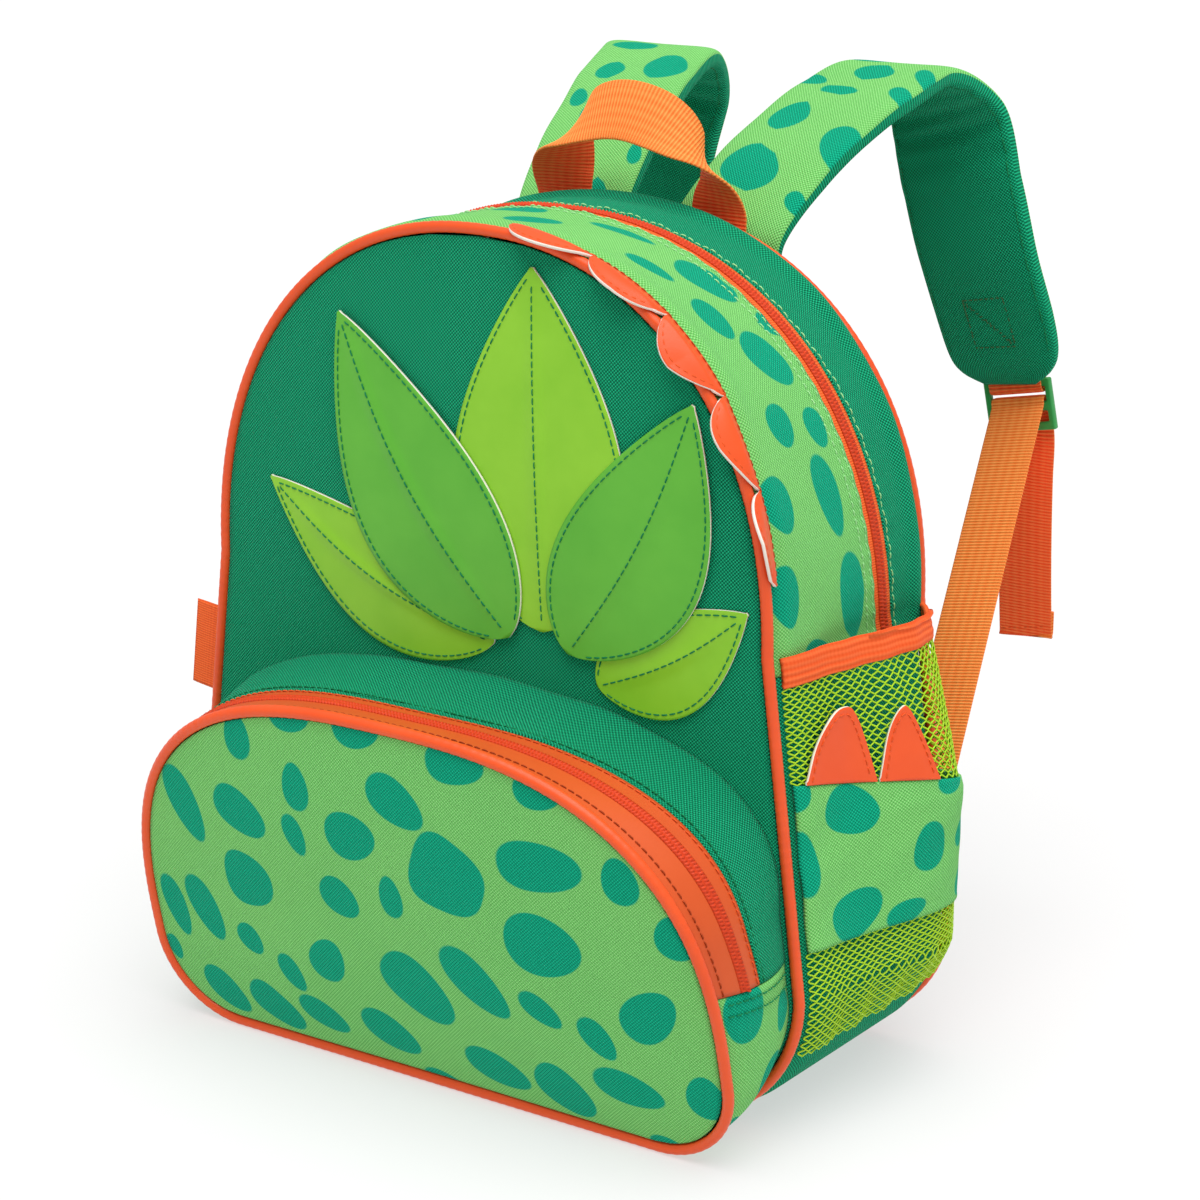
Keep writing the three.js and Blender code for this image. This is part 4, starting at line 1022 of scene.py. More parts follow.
def pocket_wall(name, node, cells, angles, run, low, high, raised, wall, looks, spots=None):
    """A strip of the pocket's wall between two reaches."""
    def spread(u, v):
        return at_share(v, angles), low + (high - low) * u, at_share(v, run)

    def place(u, v):
        angle, reach, along = spread(u, v)
        return pocket_point(angle, reach, raised(u, reach, along))

    def cut(u, v):
        angle, reach, along = spread(u, v)
        ends = [pocket_point(angle, np.full_like(angle, share), 0) for share in (0.0, 1.0)]
        return np.column_stack([reach * np.linalg.norm(ends[1] - ends[0], axis=1), along])

    return sewn_piece(name, node, cells, place, cut, looks, wall, POCKET_MIDDLE, spots)


top_gusset = pocket_wall(
    "pocket_top_gusset_cloth", "pocket_top_gusset", (16, 220), TOP_ANGLES, TOP_RUN,
    0.0, POCKET_ZIP_START - BAND_GAP,
    lambda u, reach, along: ripple(POCKET_DEPTH * reach, along, "pocket_top"),
    CLOTH, [green_cloth],
)
pocket_wall(
    "pocket_zip_band_vinyl", "pocket_zip_band", (20, 220), TOP_ANGLES, TOP_RUN,
    POCKET_ZIP_START, 1.0, lambda u, reach, along: BAND_SWELL * np.sin(math.pi * u) ** 2,
    VINYL, [band_vinyl],
)
lower_gusset = pocket_wall(
    "pocket_lower_gusset_cloth", "pocket_lower_gusset", (22, 200), LOW_ANGLES, LOW_RUN,
    0.0, 1.0, lambda u, reach, along: ripple(POCKET_DEPTH * reach, along, "pocket_low"),
    CLOTH, [spotted_cloth], GUSSET_SPOTS,
)

# %% Pocket zip coil
def pocket_coil_place(u, v):
    reach = POCKET_COIL_AT + (2 * u - 1) * COIL_HALF
    return pocket_point(at_share(v, TOP_ANGLES), reach, COIL_RISE + coil_profile(u, at_share(v, TOP_RUN)))


def pocket_coil_cut(u, v):
    return np.column_stack([u * COIL_WIDTH, v * TOP_RUN[-1]])


sewn_piece(
    "pocket_zip_coil_nylon", "pocket_zip_coil", (COIL_CELLS, int(COIL_STEPS * TOP_RUN[-1] / COIL_PITCH)),
    pocket_coil_place, pocket_coil_cut, [coil_nylon], COIL_WALL, POCKET_MIDDLE,
)

# %% [markdown]
# ## Yarns and stitches
# Net and stitches are round yarns along short paths. A curve with a round bevel makes each one, and the
# whole set becomes one mesh, because a piece with thousands of separate objects is hard to handle.

# %% Tools for yarns
def mend(made, repair):
    """Repairs a mesh with one bmesh operation, then turns its faces outwards."""
    bm = bmesh.new()
    bm.from_mesh(made)
    repair(bm)
    bmesh.ops.recalc_face_normals(bm, faces=bm.faces)
    bm.to_mesh(made)
    bm.free()


def yarn_piece(name, paths, radius, material, nodes=()):
    """Round yarns along paths in millimetres, as one mesh piece; four sides are enough for a yarn."""
    curve = bpy.data.curves.new(name, "CURVE")
    curve.dimensions = "3D"
    curve.bevel_depth = radius * MM
    curve.bevel_resolution = 0
    curve.use_fill_caps = True
    for path in paths:
        spline = curve.splines.new("POLY")
        spline.points.add(len(path) - 1)
        spline.points.foreach_set("co", np.column_stack([path * MM, np.ones(len(path))]).ravel())
    holder = bpy.data.objects.new(name, curve)
    bpy.context.scene.collection.objects.link(holder)
    seen = holder.evaluated_get(bpy.context.evaluated_depsgraph_get())
    made = bpy.data.meshes.new_from_object(seen)
    bpy.data.objects.remove(holder)
    bpy.data.curves.remove(curve)
    made.materials.clear()
    made.name = name
    # Points that lie on one another are joined, so that the ends of yarns are closed
    mend(made, lambda bm: bmesh.ops.remove_doubles(bm, verts=bm.verts, dist=WELD))
    piece = new_piece(name, made, [material], nodes)
    print(name, len(paths), "yarns,", len(made.polygons), "faces")
    return piece


# %% Rows of stitches
THREAD = 0.3
STITCH_PITCH = 3.4
STITCH_GAP = 1.0
STITCH_SINK = -0.15
STITCH_RISE = 0.22
ROW_STEPS = 900
ROW_END = 0.004
POCKET_ROW_RISE = 0.3
HEM_ROW = {"from": 0.06, "reach": 0.9, "rise": 0.5}


def stitch_row(lie, pitch=STITCH_PITCH):
    """Separate stitches along a row; lie(share, raised) gives points on and above the cloth."""
    share = np.linspace(0, 1, ROW_STEPS)
    run = distances(lie(share, 0))
    start = np.arange(int(run[-1] / pitch)) * pitch + STITCH_GAP / 2
    length = pitch - STITCH_GAP
    steps = [(0, STITCH_SINK), (0.25, STITCH_RISE), (0.75, STITCH_RISE), (1, STITCH_SINK)]
    rows = [lie(np.interp(start + length * part, run, share), raised) for part, raised in steps]
    return list(np.stack(rows, axis=1))


def band_row(offset):
    """A row on the gusset at a distance from the zip's middle."""
    def lie(share, raised):
        turn = arc_turn(ROW_END + (1 - 2 * ROW_END) * share)
        y = zip_middle(turn) + offset
        return body_point(turn, y, band_raise(turn, y) + raised)
    return stitch_row(lie)


def pocket_row(reach):
    """A row over the top of the pocket's wall at one reach."""
    def lie(share, raised):
        angle = at_share(share, TOP_ANGLES)
        return pocket_point(angle, np.full_like(angle, reach), POCKET_ROW_RISE + raised)
    return stitch_row(lie)


def hem_row(along):
    """A row across the lower gusset, a share of its length from its right end."""
    def lie(share, raised):
        angle = np.full_like(share, at_share(along, LOW_ANGLES))
        return pocket_point(angle, HEM_ROW["from"] + HEM_ROW["reach"] * share, HEM_ROW["rise"] + raised)
    return stitch_row(lie)


# %% Stitches beside both zips
HEM_ROWS = (0.007, 0.018)
ROW_ON_BAND = POCKET_ZIP_START + 0.03
ROW_ON_GUSSET = POCKET_ZIP_START - 0.05
ROW_BY_PIPING = 0.93
hem_rows = [row for share in HEM_ROWS for end in (share, 1 - share) for row in hem_row(end)]
pocket_stitches = pocket_row(ROW_ON_BAND)
piping_stitches = pocket_row(ROW_BY_PIPING)
top_stitches = pocket_row(ROW_ON_GUSSET)
BAND_ROWS = (-HALF_TAPE - 2.0, -HALF_TAPE - 6.5, HALF_TAPE + 2.0)
zip_rows = [stitch for offset in BAND_ROWS for stitch in band_row(offset)]
yarn_piece("zip_topstitch_thread", zip_rows, THREAD, green_thread)

# %% [markdown]
# ## Side pockets
# Each side has a gathered pocket: an elastic binding at the mouth, net, a spotted band, and net again down
# to the foot, with two pointed vinyl tabs on the band's top edge. Seams are heights at the front and the
# rear, so one function places every strip, and a mirror gives the left side.

# %% Setting out a side pocket
SIDE_FRONT = -48.0
SIDE_REAR = 49.0
SIDE_GAP = 0.6
MOUTH = (189, 191)
BINDING_LOW = (177.5, 179.5)
BAND_TOP = (141, 122)
BAND_LOW = (77, 75)
FOOT = (35, 46)
BULGE_HEIGHT = [35, 46, 60, 76, 122, 141, 192]
BULGE_OUT = [2, 5, 12, 15, 23, 21, 12]
GATHER_HEIGHT = [35, 60, 80, 122, 150, 190]
GATHER_DEPTH = [0.8, 0.4, 0.0, 0.0, 0.4, 0.7]
GATHER = {"pitch": 17.0, "slant": 0.12, "fade": 0.7}
SIDE_FULLEST = 1.9
NET_WALL = 1.2


def seam_height(seam, y):
    """Height of a side seam, which runs from its front to its rear end."""
    share = (y - SIDE_FRONT) / (SIDE_REAR - SIDE_FRONT)
    return seam[0] + (seam[1] - seam[0]) * share


def side_point(mirror, y, height, raised):
    """A point on the side pocket: depth, height and distance above its inner face."""
    share = np.clip((y - SIDE_FRONT) / (SIDE_REAR - SIDE_FRONT), 0, 1)
    bulge = np.interp(height, BULGE_HEIGHT, BULGE_OUT) * np.sin(math.pi * share ** SIDE_FULLEST)
    folds = np.sin(2 * math.pi * (y + GATHER["slant"] * height) / GATHER["pitch"])
    folds = folds * np.sin(math.pi * share) ** GATHER["fade"]
    gathered = folds * np.interp(height, GATHER_HEIGHT, GATHER_DEPTH)
    place = body_point(turn_at_height(height), y, gusset_out(y) + SIDE_GAP + bulge + gathered + raised)
    return place * [mirror, 1, 1]


# %% Binding and band of the side pockets
# Printed spots on the side bands: depth y, height, half sizes, tilt, squareness
SIDE_SPOTS = [
    (-24, 126, 12, 9, -30, 2.2), (8, 104, 10, 7.5, 95, 2), (45, 114, 9, 7, 30, 2),
    (-24, 86, 12, 9, 20, 2.2), (-47, 111, 13, 6, 95, 2), (-48, 139, 8, 6, 90, 2),
    (36, 84, 10, 6, 30, 2), (-2, 80, 9, 5, 10, 2), (20, 128, 9, 5, 10, 2), (28, 104, 6, 4, 60, 2),
]


def side_wall(name, node, mirror, cells, low, high, raised, wall, looks, spots=None):
    """A strip of the side pocket between two seams."""
    def spread(u, v):
        y = SIDE_FRONT + (SIDE_REAR - SIDE_FRONT) * u
        foot = seam_height(low, y)
        return y, foot + (seam_height(high, y) - foot) * v

    def place(u, v):
        y, height = spread(u, v)
        return side_point(mirror, y, height, raised(u, v))

    def cut(u, v):
        return np.column_stack(spread(u, v))

    return sewn_piece(name, node, cells, place, cut, looks, wall, spots=spots)


RIBS = 4
RIB_HEIGHT = 0.12
BINDING = {"wall": 2.4, "sink": 0.5, "edge": 0.8, "inset": 0.4}
BAND_SIZE = {"long": 95.0, "high": 60.0}


def binding_raise(u, v):
    """Ribs along the elastic, and an edge that turns over the net."""
    ribs = RIB_HEIGHT * np.cos(2 * math.pi * RIBS * v)
    return BINDING["wall"] - BINDING["sink"] + ribs - BINDING["edge"] * (2 * v - 1) ** 6


def crease(u, v):
    """Soft creases of a band that is held at its top and gathered at its foot."""
    soft = ripple(BAND_SIZE["long"] * u, BAND_SIZE["high"] * v, "side_band")
    return CLOTH + soft * np.sin(math.pi * v) ** 0.5


SIDES = (("right", 1), ("left", -1))
for side, mirror in SIDES:
    side_wall(
        f"side_binding_elastic_{side}", f"side_binding_{side}", mirror, (60, 28), BINDING_LOW, MOUTH,
        binding_raise, BINDING["wall"] - BINDING["inset"], [elastic_cloth],
    )
    band = side_wall(
        f"side_band_cloth_{side}", f"side_band_{side}", mirror, (64, 40), BAND_LOW, BAND_TOP,
        crease, CLOTH, [spotted_cloth], SIDE_SPOTS,
    )

# %% [markdown]
# ### Net
# Knotless net: each yarn zigzags up the pocket and meets its neighbours at every turn, which leaves open
# diamonds. The yarns are real, so the dark cloth behind them shows through. Towards the foot the diamonds
# close up where the net is gathered.

# %% Net of the side pockets
NET_CELL = 4.2
NET_YARN = 0.36
NET_ROWS = 13
NET_POINTS = 4
NET_CROSSING = 0.25


def net_paths(mirror, low, high):
    """Zigzag yarns between two seams; odd and even yarns meet at their turns."""
    columns = int((SIDE_REAR - SIDE_FRONT) / NET_CELL)
    width = (SIDE_REAR - SIDE_FRONT) / columns
    up = np.linspace(0, 1, NET_ROWS * 2 * NET_POINTS + 1)
    swing = np.abs(np.mod(up * NET_ROWS, 1.0) * 2 - 1)
    swing = 0.5 - 0.5 * np.cos(math.pi * swing)
    paths = []
    for column in range(columns):
        for way in (swing, 1 - swing):
            y = SIDE_FRONT + width * (column + 0.5 * way + (0.0 if way is swing else 0.5))
            y = np.clip(y, SIDE_FRONT, SIDE_REAR)
            foot = seam_height(low, y)
            height = foot + (seam_height(high, y) - foot) * up
            paths.append(side_point(mirror, y, height, NET_YARN + NET_CROSSING * swing))
    return paths


NET_PARTS = [
    {"name": "upper", "low": BAND_TOP, "high": BINDING_LOW, "flat": (0.110, 0.050)},
    {"name": "lower", "low": FOOT, "high": BAND_LOW, "flat": (0.110, 0.048)},
]
for side, mirror in SIDES:
    for part in NET_PARTS:
        paths = net_paths(mirror, part["low"], part["high"])
        name = f"side_net_{part['name']}"
        net = yarn_piece(f"{name}_yarn_{side}", paths, NET_YARN, net_yarn, [f"{name}_{side}"])

# %% [markdown]
# ### Pointed tabs
# Two vinyl tabs stand on the band's top edge over the net. Their cut edge is white and a row of stitches
# follows it. Each is a grid squeezed to a point at its top, so that the edge is smooth without cutting.

# %% Tabs
TAB_COLUMNS = ("name", "first", "last", "peak", "point")
TABS = [("front", -44, -13, 0.72, 2.0), ("rear", -12, 12, 0.55, 1.6)]
TAB_HEIGHT = 29.0
TAB_LEAN = 1.5
TAB_HEM = 1.0
TAB_INSET = 1.3
TAB_RAISE = NET_WALL + GAP + VINYL
EDGE_ROW = 2.2


def tab_point(mirror, tab, u, v, raised, inset=0.0):
    """A point of a tab, u along the band and v up, drawn in from its edge by an inset."""
    half = (tab["last"] - tab["first"]) / 2
    y = (tab["first"] + tab["last"]) / 2 + (half - inset) * (2 * u - 1)
    slope = np.where(u < tab["peak"], (tab["peak"] - u) / tab["peak"], (u - tab["peak"]) / (1 - tab["peak"]))
    up = np.maximum((1 - slope ** tab["point"]) * (TAB_HEIGHT - TAB_INSET * inset), TAB_HEM) * v
    lean = TAB_LEAN * (up / TAB_HEIGHT) ** 2
    return side_point(mirror, y, seam_height(BAND_TOP, y) + GAP + up, TAB_RAISE + lean + raised)


edge_stitches = []
for side, mirror in SIDES:
    for row in TABS:
        tab = dict(zip(TAB_COLUMNS, row))

        def tab_place(u, v):
            return tab_point(mirror, tab, u, v, 0)

        def tab_cut(u, v):
            return tab_place(u, v)[:, 1:]

        def tab_row(share, raised):
            return tab_point(mirror, tab, share, np.ones_like(share), raised, EDGE_ROW)

        name = f"side_tab_{tab['name']}"
        sewn_piece(
            f"{name}_vinyl_{side}", f"{name}_{side}", (48, 24), tab_place, tab_cut,
            [orange_vinyl, cut_edge], VINYL, edge_material=1,
        )
        edge_stitches += stitch_row(tab_row)
print("tabs made, stitches so far:", len(edge_stitches))

# %% [markdown]
# ## Scalloped trim
# A strip of vinyl lobes caught in the front seam on the right half. Each lobe springs from the gusset,
# leans forward over the piping and shows its white cut edge. One grid makes the whole strip: its far edge
# follows a row of half waves, and a short table says how each lobe leans.

# %% Trim
TRIM_FROM = 0.487
TRIM_TO = 0.3187
TRIM_LOBES = 5
TRIM_HEIGHT = 14.0
TRIM_SEAM_HEIGHT = 1.0
TRIM_ROUNDNESS = 0.65
TRIM_BELLY = 0.8
TRIM_SEAM_ROW = 0.06
TRIM_CURL = 1.2
TRIM_SIZE = {"wide": 24.0, "long": 200.0}
# How the vinyl lies: distance from its seam and depth y, then its height where it passes the piping
TRIM_RUN = [0.0, 3.9, 6.1, 20.0]
TRIM_Y = [-48.0, -51.8, -54.0, -67.5]
TRIM_OVER_PIPING = [2.6, 2.8]
# How each lobe leans beyond the piping, from the crown down: millimetres out for each millimetre forward
TRIM_LEANS = [-0.10, -0.14, -0.67, -0.27, 0.55]


def trim_point(u, v, raised, inset=0.0):
    """A point of the trim: u from its seam to its lobed edge, v along it."""
    lobe = np.sin(math.pi * np.mod(TRIM_LOBES * v, 1.0) ** TRIM_BELLY).clip(0) ** TRIM_ROUNDNESS
    run = np.maximum((TRIM_SEAM_HEIGHT + TRIM_HEIGHT * lobe) * u - inset, 0)
    curl = TRIM_CURL * lobe * np.sin(math.pi * u) ** 2
    turn = TRIM_FROM + (TRIM_TO - TRIM_FROM) * v
    _, near, far, _ = TRIM_RUN
    seam_out = band_raise(turn, TRIM_Y[0]) + GAP
    rising = np.interp(run, [near, far], TRIM_OVER_PIPING) - seam_out
    lean = np.interp(TRIM_LOBES * v - 0.5, range(TRIM_LOBES), TRIM_LEANS) * np.maximum(run - far, 0)
    out = seam_out + rising * np.clip(run / near, 0, 1) + lean + curl + VINYL + raised
    return body_point(turn, np.interp(run, TRIM_RUN, TRIM_Y), out)


def trim_cut(u, v):
    return np.column_stack([TRIM_SIZE["wide"] * u, TRIM_SIZE["long"] * v])


sewn_piece(
    "scalloped_trim_vinyl", "scalloped_trim", (22, 300), lambda u, v: trim_point(u, v, 0), trim_cut,
    [orange_vinyl, cut_edge], VINYL, edge_material=1,
)
edge_stitches += stitch_row(lambda s, raised: trim_point(np.ones_like(s), s, raised, EDGE_ROW))
# The trim's seam row is part thread, part painted shade: its dark red-brown stands for shadowed stitch holes
trim_seam_stitches_and_hole_shade = stitch_row(lambda s, raised: trim_point(np.full_like(s, TRIM_SEAM_ROW), s, raised))
print("trim stitches:", len(trim_seam_stitches_and_hole_shade))

# %% [markdown]
# ## Leaves on the front
# A fan of five vinyl leaves sewn flat on the front panel. Each is a grid whose width follows the leaf,
# raised a little along its midrib, with a row of stitches inside its edge and one along the midrib.

# %% Leaves
LEAF_COLUMNS = ("name", "base_x", "base_z", "tip_x", "tip_z", "half", "bow", "layer")
LEAF_ROWS = [
    ("leaf_low_left", 12, 178, -98, 226, 23, 8, 0),
    ("leaf_upper_left", 20, 182, -62, 296, 32, 8, 1),
    ("leaf_top", 34, 186, 26, 322, 38, 0, 0),
    ("leaf_upper_right", 46, 180, 96, 280, 30, -6, 1),
    ("leaf_low_right", 58, 169, 119, 206, 20, -4, 0),
]
LEAF_BELLY = 0.75
LEAF_ROUNDNESS = 0.85
LEAF_TIP = 0.6
LEAF_ROW_END = 0.03
MIDRIB = {"rise": 0.9, "width": 3.0}


def leaf_point(leaf, u, v, raised, inset=0.0):
    """A point of a leaf: u across, v from base to tip."""
    along = np.array([leaf["tip_x"] - leaf["base_x"], leaf["tip_z"] - leaf["base_z"]], float)
    side = np.array([-along[1], along[0]]) / np.linalg.norm(along)
    half = leaf["half"] * np.sin(math.pi * v ** LEAF_BELLY).clip(0) ** LEAF_ROUNDNESS
    half = np.maximum(half - inset, LEAF_TIP)
    shift = leaf["bow"] * np.sin(math.pi * v) + half * (2 * u - 1)
    x = leaf["base_x"] + along[0] * v + side[0] * shift
    z = leaf["base_z"] + along[1] * v + side[1] * shift
    rib = MIDRIB["rise"] * np.exp(-((half * (2 * u - 1)) / MIDRIB["width"]) ** 2) * np.sin(math.pi * v)
    lift = GAP + leaf["layer"] * (VINYL + GAP) + VINYL + rib + raised
    return points(x, front_face_y(x, z) - lift, z)


leaf_stitches = []
for row in LEAF_ROWS:
    leaf = dict(zip(LEAF_COLUMNS, row))

    def leaf_place(u, v):
        return leaf_point(leaf, u, v, 0)

    def leaf_cut(u, v):
        return leaf_place(u, v)[:, [0, 2]]

    def leaf_row(across):
        return stitch_row(lambda s, raised: leaf_point(
            leaf, np.full_like(s, across), LEAF_ROW_END + (1 - 2 * LEAF_ROW_END) * s, raised, EDGE_ROW,
        ))

    looks = leaf_green_vinyl if leaf["layer"] else lime_vinyl
    sewn_piece(
        f"{leaf['name']}_vinyl", leaf["name"], (40, 90), leaf_place, leaf_cut,
        [looks, cut_edge], VINYL, edge_material=1,
    )
    leaf_stitches += leaf_row(0.0) + leaf_row(1.0) + leaf_row(0.5)
yarn_piece("leaf_stitch_thread", leaf_stitches, THREAD, dark_thread)

# %% [markdown]
# ## Paths for webbing and straps
# Webbing and straps follow a smooth run through a few stations. A Catmull-Rom curve passes through every
# station; its other columns, such as width, are eased in the same way. Handles of a Bezier curve would have
# to be set one by one.

# %% Smooth runs
SPAN_STEPS = 60


def smooth_run(stations, spacing):
    """A smooth run through stations, whose first three columns are a place, at an even spacing."""
    rows = np.array(stations, float)
    padded_rows = np.vstack([2 * rows[0] - rows[1], rows, 2 * rows[-1] - rows[-2]])
    share = np.linspace(0, 1, SPAN_STEPS, endpoint=False)[:, None]
    spans = []
    for a, b, c, d in zip(padded_rows, padded_rows[1:], padded_rows[2:], padded_rows[3:]):
        cubic = (3 * (b - c) + d - a) * share ** 3 + (2 * a - 5 * b + 4 * c - d) * share ** 2
        spans.append(b + 0.5 * (cubic + (c - a) * share))
    dense = np.vstack(spans + [rows[-1:]])
    run = distances(dense[:, :3])
    even = np.linspace(0, run[-1], int(run[-1] / spacing) + 1)
    return even, np.column_stack([np.interp(even, run, column) for column in dense.T])


def unit(rows):
    return rows / np.linalg.norm(rows, axis=1, keepdims=True)


def axes_along(places, across):
    """Unit directions along a run, across it and through it."""
    along = unit(np.gradient(places, axis=0))
    wide = unit(across - along * np.sum(across * along, axis=1, keepdims=True))
    return along, wide, np.cross(along, wide)


def nearest_row(share, rows):
    """The number of the row nearest to a share of the way along."""
    last = len(rows) - 1
    return np.clip(np.rint(share * last).astype(int), 0, last)


def squared(value, power):
    """Draws a cosine or sine out towards a square: the smaller the power, the squarer."""
    return np.sign(value) * np.abs(value) ** power


# %% [markdown]
# ## Webbing
# A woven tape with crosswise ribs and a firm edge. The ribs are in the mesh: the tape's surface rises and
# falls along its length, on both faces.

# %% Webbing along a run
RIB_DEPTH = 0.13
TAPE_SIDES = 20
TAPE_EDGE = 0.25
TAPE_FACE = 0.4
# Where the painted shade face begins, on the sine across the tape
PAINTED_SHADE_FROM = 0.1


def webbing(name, node, stations, width, thick, inner):
    """Tape along stations of place and across direction, ribbed on both faces.

    inner is 1 or -1: the side, along or against the tape's through direction, with the painted shade face.
    """
    along, rows = smooth_run(stations, RIB_PITCH / 4)
    _, wide, through = axes_along(rows[:, :3], rows[:, 3:6])

    def place(u, v):
        i = nearest_row(v, along)
        edge = squared(np.cos(2 * math.pi * u), TAPE_EDGE)
        rib = RIB_DEPTH * np.sin(2 * math.pi * along[i] / RIB_PITCH)
        rise = squared(np.sin(2 * math.pi * u), TAPE_FACE) * (thick / 2 - RIB_DEPTH + rib)
        return rows[i, :3] + wide[i] * (edge * width / 2)[:, None] + through[i] * rise[:, None]

    def cut(u, v):
        return np.column_stack([np.abs(2 * u - 1) * 2 * width, v * along[-1]])

    # Faces on this side take the deeper red orange of painted shade
    def painted_shade_side(u, v):
        return (inner * np.sin(2 * math.pi * u) > PAINTED_SHADE_FROM).astype(float)

    made = bent_mesh(name, (TAPE_SIDES, len(along) - 1), place, cut, second=painted_shade_side)
    # The tube's two open ends are filled
    mend(made, lambda bm: bmesh.ops.holes_fill(bm, edges=bm.edges, sides=0))
    new_piece(name, made, [lit_side_webbing, painted_shade_webbing], [node])
    print(name, round(along[-1]), "mm long,", len(made.polygons), "faces")


# %% [markdown]
# ## Grab handle
# One length of webbing that rises from the rear seam, turns flat over the crown and goes down again. Each
# station has a place and the direction across the tape, and the right half mirrors the left.

# %% Handle
HANDLE_WIDTH = 25.0
HANDLE_THICK = 1.8
# Place x, y, z, then the direction across the tape
HANDLE_LEFT = [
    (-36, 57.8, 300, 1, 0, 0), (-36, 57.6, 316, 1, 0, 0), (-36.3, 57.6, 327, 1, 0.03, 0.1),
    (-35.2, 55, 339, 0.85, 0.3, 0.5), (-28.5, 50, 352, 0.55, 0.45, 0.7),
    (-16, 45.5, 361.5, 0.22, 0.5, 0.84),
]
HANDLE_CROWN = (0, 44, 365, 0, 0.5, 0.87)
handle_right = [(-x, y, z, -across, back, up) for x, y, z, across, back, up in reversed(HANDLE_LEFT)]
webbing(
    "handle_webbing", "handle", HANDLE_LEFT + [HANDLE_CROWN] + handle_right,
    HANDLE_WIDTH, HANDLE_THICK, inner=-1,
)

# %% [markdown]
# ## Shoulder straps
# Foam between spotted cloth on the outside and plain cloth on the inside, closed by a seam along each
# edge. The strap is a flat oval tube along its run, pinched at the edges, with creases inside its bend. A
# tube gives both faces and the seams in one mesh, so the two cloths only differ by material.

# %% The run of a strap
# Place x, y, z, then the strap's width and thickness there
STRAP_STATIONS = [
    (36, 61.9, 298, 50, 5), (37, 64, 318, 51, 8), (42, 88, 339, 52, 10), (47, 113, 353, 52, 10),
    (52, 136, 363, 53, 10), (58, 165, 369, 53, 10), (67, 187, 352, 54, 10), (75, 189, 322, 54, 10),
    (82, 191, 294, 54, 10), (88, 198, 266, 54, 9), (91, 202, 250, 51, 8), (92.4, 203.8, 242, 42, 6),
    (93.3, 204.9, 236, 24, 4),
]
STRAP_SPACING = 1.6
strap_along, strap_rows = smooth_run(STRAP_STATIONS, STRAP_SPACING)
strap_sideways = np.tile([1.0, 0.0, 0.0], (len(strap_rows), 1))
strap_run, strap_wide, strap_through = axes_along(strap_rows[:, :3], strap_sideways)
print("strap run:", round(strap_along[-1]), "mm")

# %% Spots on the straps
# Printed spots on the straps: across towards the outer side, distance from the root, half sizes, tilt and
# squareness. Each strap has a chart of its own up to the crest, and both share the one behind it.
STRAP_SPOTS = {
    "right": [
        (-23, 108, 10, 5, -12, 2), (0, 122, 9, 8, 0, 2), (-3, 103, 8.5, 4, 10, 2),
        (-10, 81, 10.5, 8, 80, 2), (24, 70, 14, 8.5, -53, 2), (-5, 48, 14, 11, -27, 2.4),
        (24, 109, 8, 4, -28, 2), (24, 125, 9, 4, -40, 2), (24, 38, 6, 4, -42, 2), (-24, 21, 6, 3, 5, 2),
        (-14, 137, 11, 6, 0, 2),
    ],
    "left": [
        (10, 131, 11, 5, 10, 2), (11, 106, 7.5, 6, 90, 2), (-13, 109, 11, 9.5, 80, 2.2),
        (18, 85, 7, 4, 75, 2), (-12, 27, 8, 4, 65, 2), (-3, 48, 6, 3, 70, 2), (-22, 47, 6, 3, 80, 2),
        (4, 70, 12, 8, 60, 2),
    ],
}
STRAP_SPOTS_BEHIND = [
    (13, 152, 9, 6, 70, 2), (-16, 160, 9, 6, 90, 2), (5, 176, 9.5, 7, 110, 2), (-14, 194, 10, 7, 70, 2),
    (15, 204, 10, 7, 100, 2), (-6, 223, 9.5, 7, 80, 2), (16, 240, 10, 7, 60, 2), (-16, 252, 9, 6.5, 95, 2),
    (4, 268, 9.5, 6.5, 110, 2),
]

# %% The strap's shape
STRAP_SQUARENESS = 0.45
STRAP_END = 8.0
STRAP_WRAP = 0.12
STRAP_WIDTH = 53.0
STRAP_HALF_ROUND = 30.0
CREASE = {"at": 165.0, "spread": 28.0, "pitch": 12.0, "depth": 0.9}


def strap_point(mirror, around, distance, raised=0.0):
    """A point of a strap: angle round its section, distance from its root."""
    i = nearest_row(distance / strap_along[-1], strap_along)
    ends = np.clip(np.minimum(distance, strap_along[-1] - distance) / STRAP_END, 0, 1)
    closing = np.sqrt(1 - (1 - ends) ** 2)
    inner = np.sin(around).clip(0)
    bend = np.exp(-((distance - CREASE["at"]) / CREASE["spread"]) ** 2)
    crease_depth = CREASE["depth"] * bend * np.sin(2 * math.pi * distance / CREASE["pitch"]) * inner
    soft = ripple(STRAP_HALF_ROUND * np.cos(around), distance, "strap")
    across = squared(np.cos(around), STRAP_SQUARENESS) / 2 * strap_rows[i, 3]
    thick = squared(np.sin(around), STRAP_SQUARENESS) / 2 * (strap_rows[i, 4] + soft) * closing
    thick = thick + (crease_depth + raised) * np.sign(np.sin(around)) * closing
    place = strap_rows[i, :3] + strap_wide[i] * across[:, None] + strap_through[i] * thick[:, None]
    return place * [mirror, 1, 1]


def strap_cut(u, v):
    across = squared(np.cos(2 * math.pi * u), STRAP_SQUARENESS) / 2 * STRAP_WIDTH
    return np.column_stack([across, v * strap_along[-1]])


def strap_inside(u, v):
    """True on the plain inner face, which wraps round each edge up to the printed face."""
    return (np.sin(2 * math.pi * u) > -STRAP_WRAP).astype(float)


def strap_face(mirror, across, distance, raised):
    """A place on the strap's inner face, by distance across and along."""
    share = np.clip(2 * np.abs(across) / STRAP_WIDTH, 0, 1)
    angle = np.arccos(np.sign(across) * share ** (1 / STRAP_SQUARENESS))
    return strap_point(mirror, angle, distance, raised)


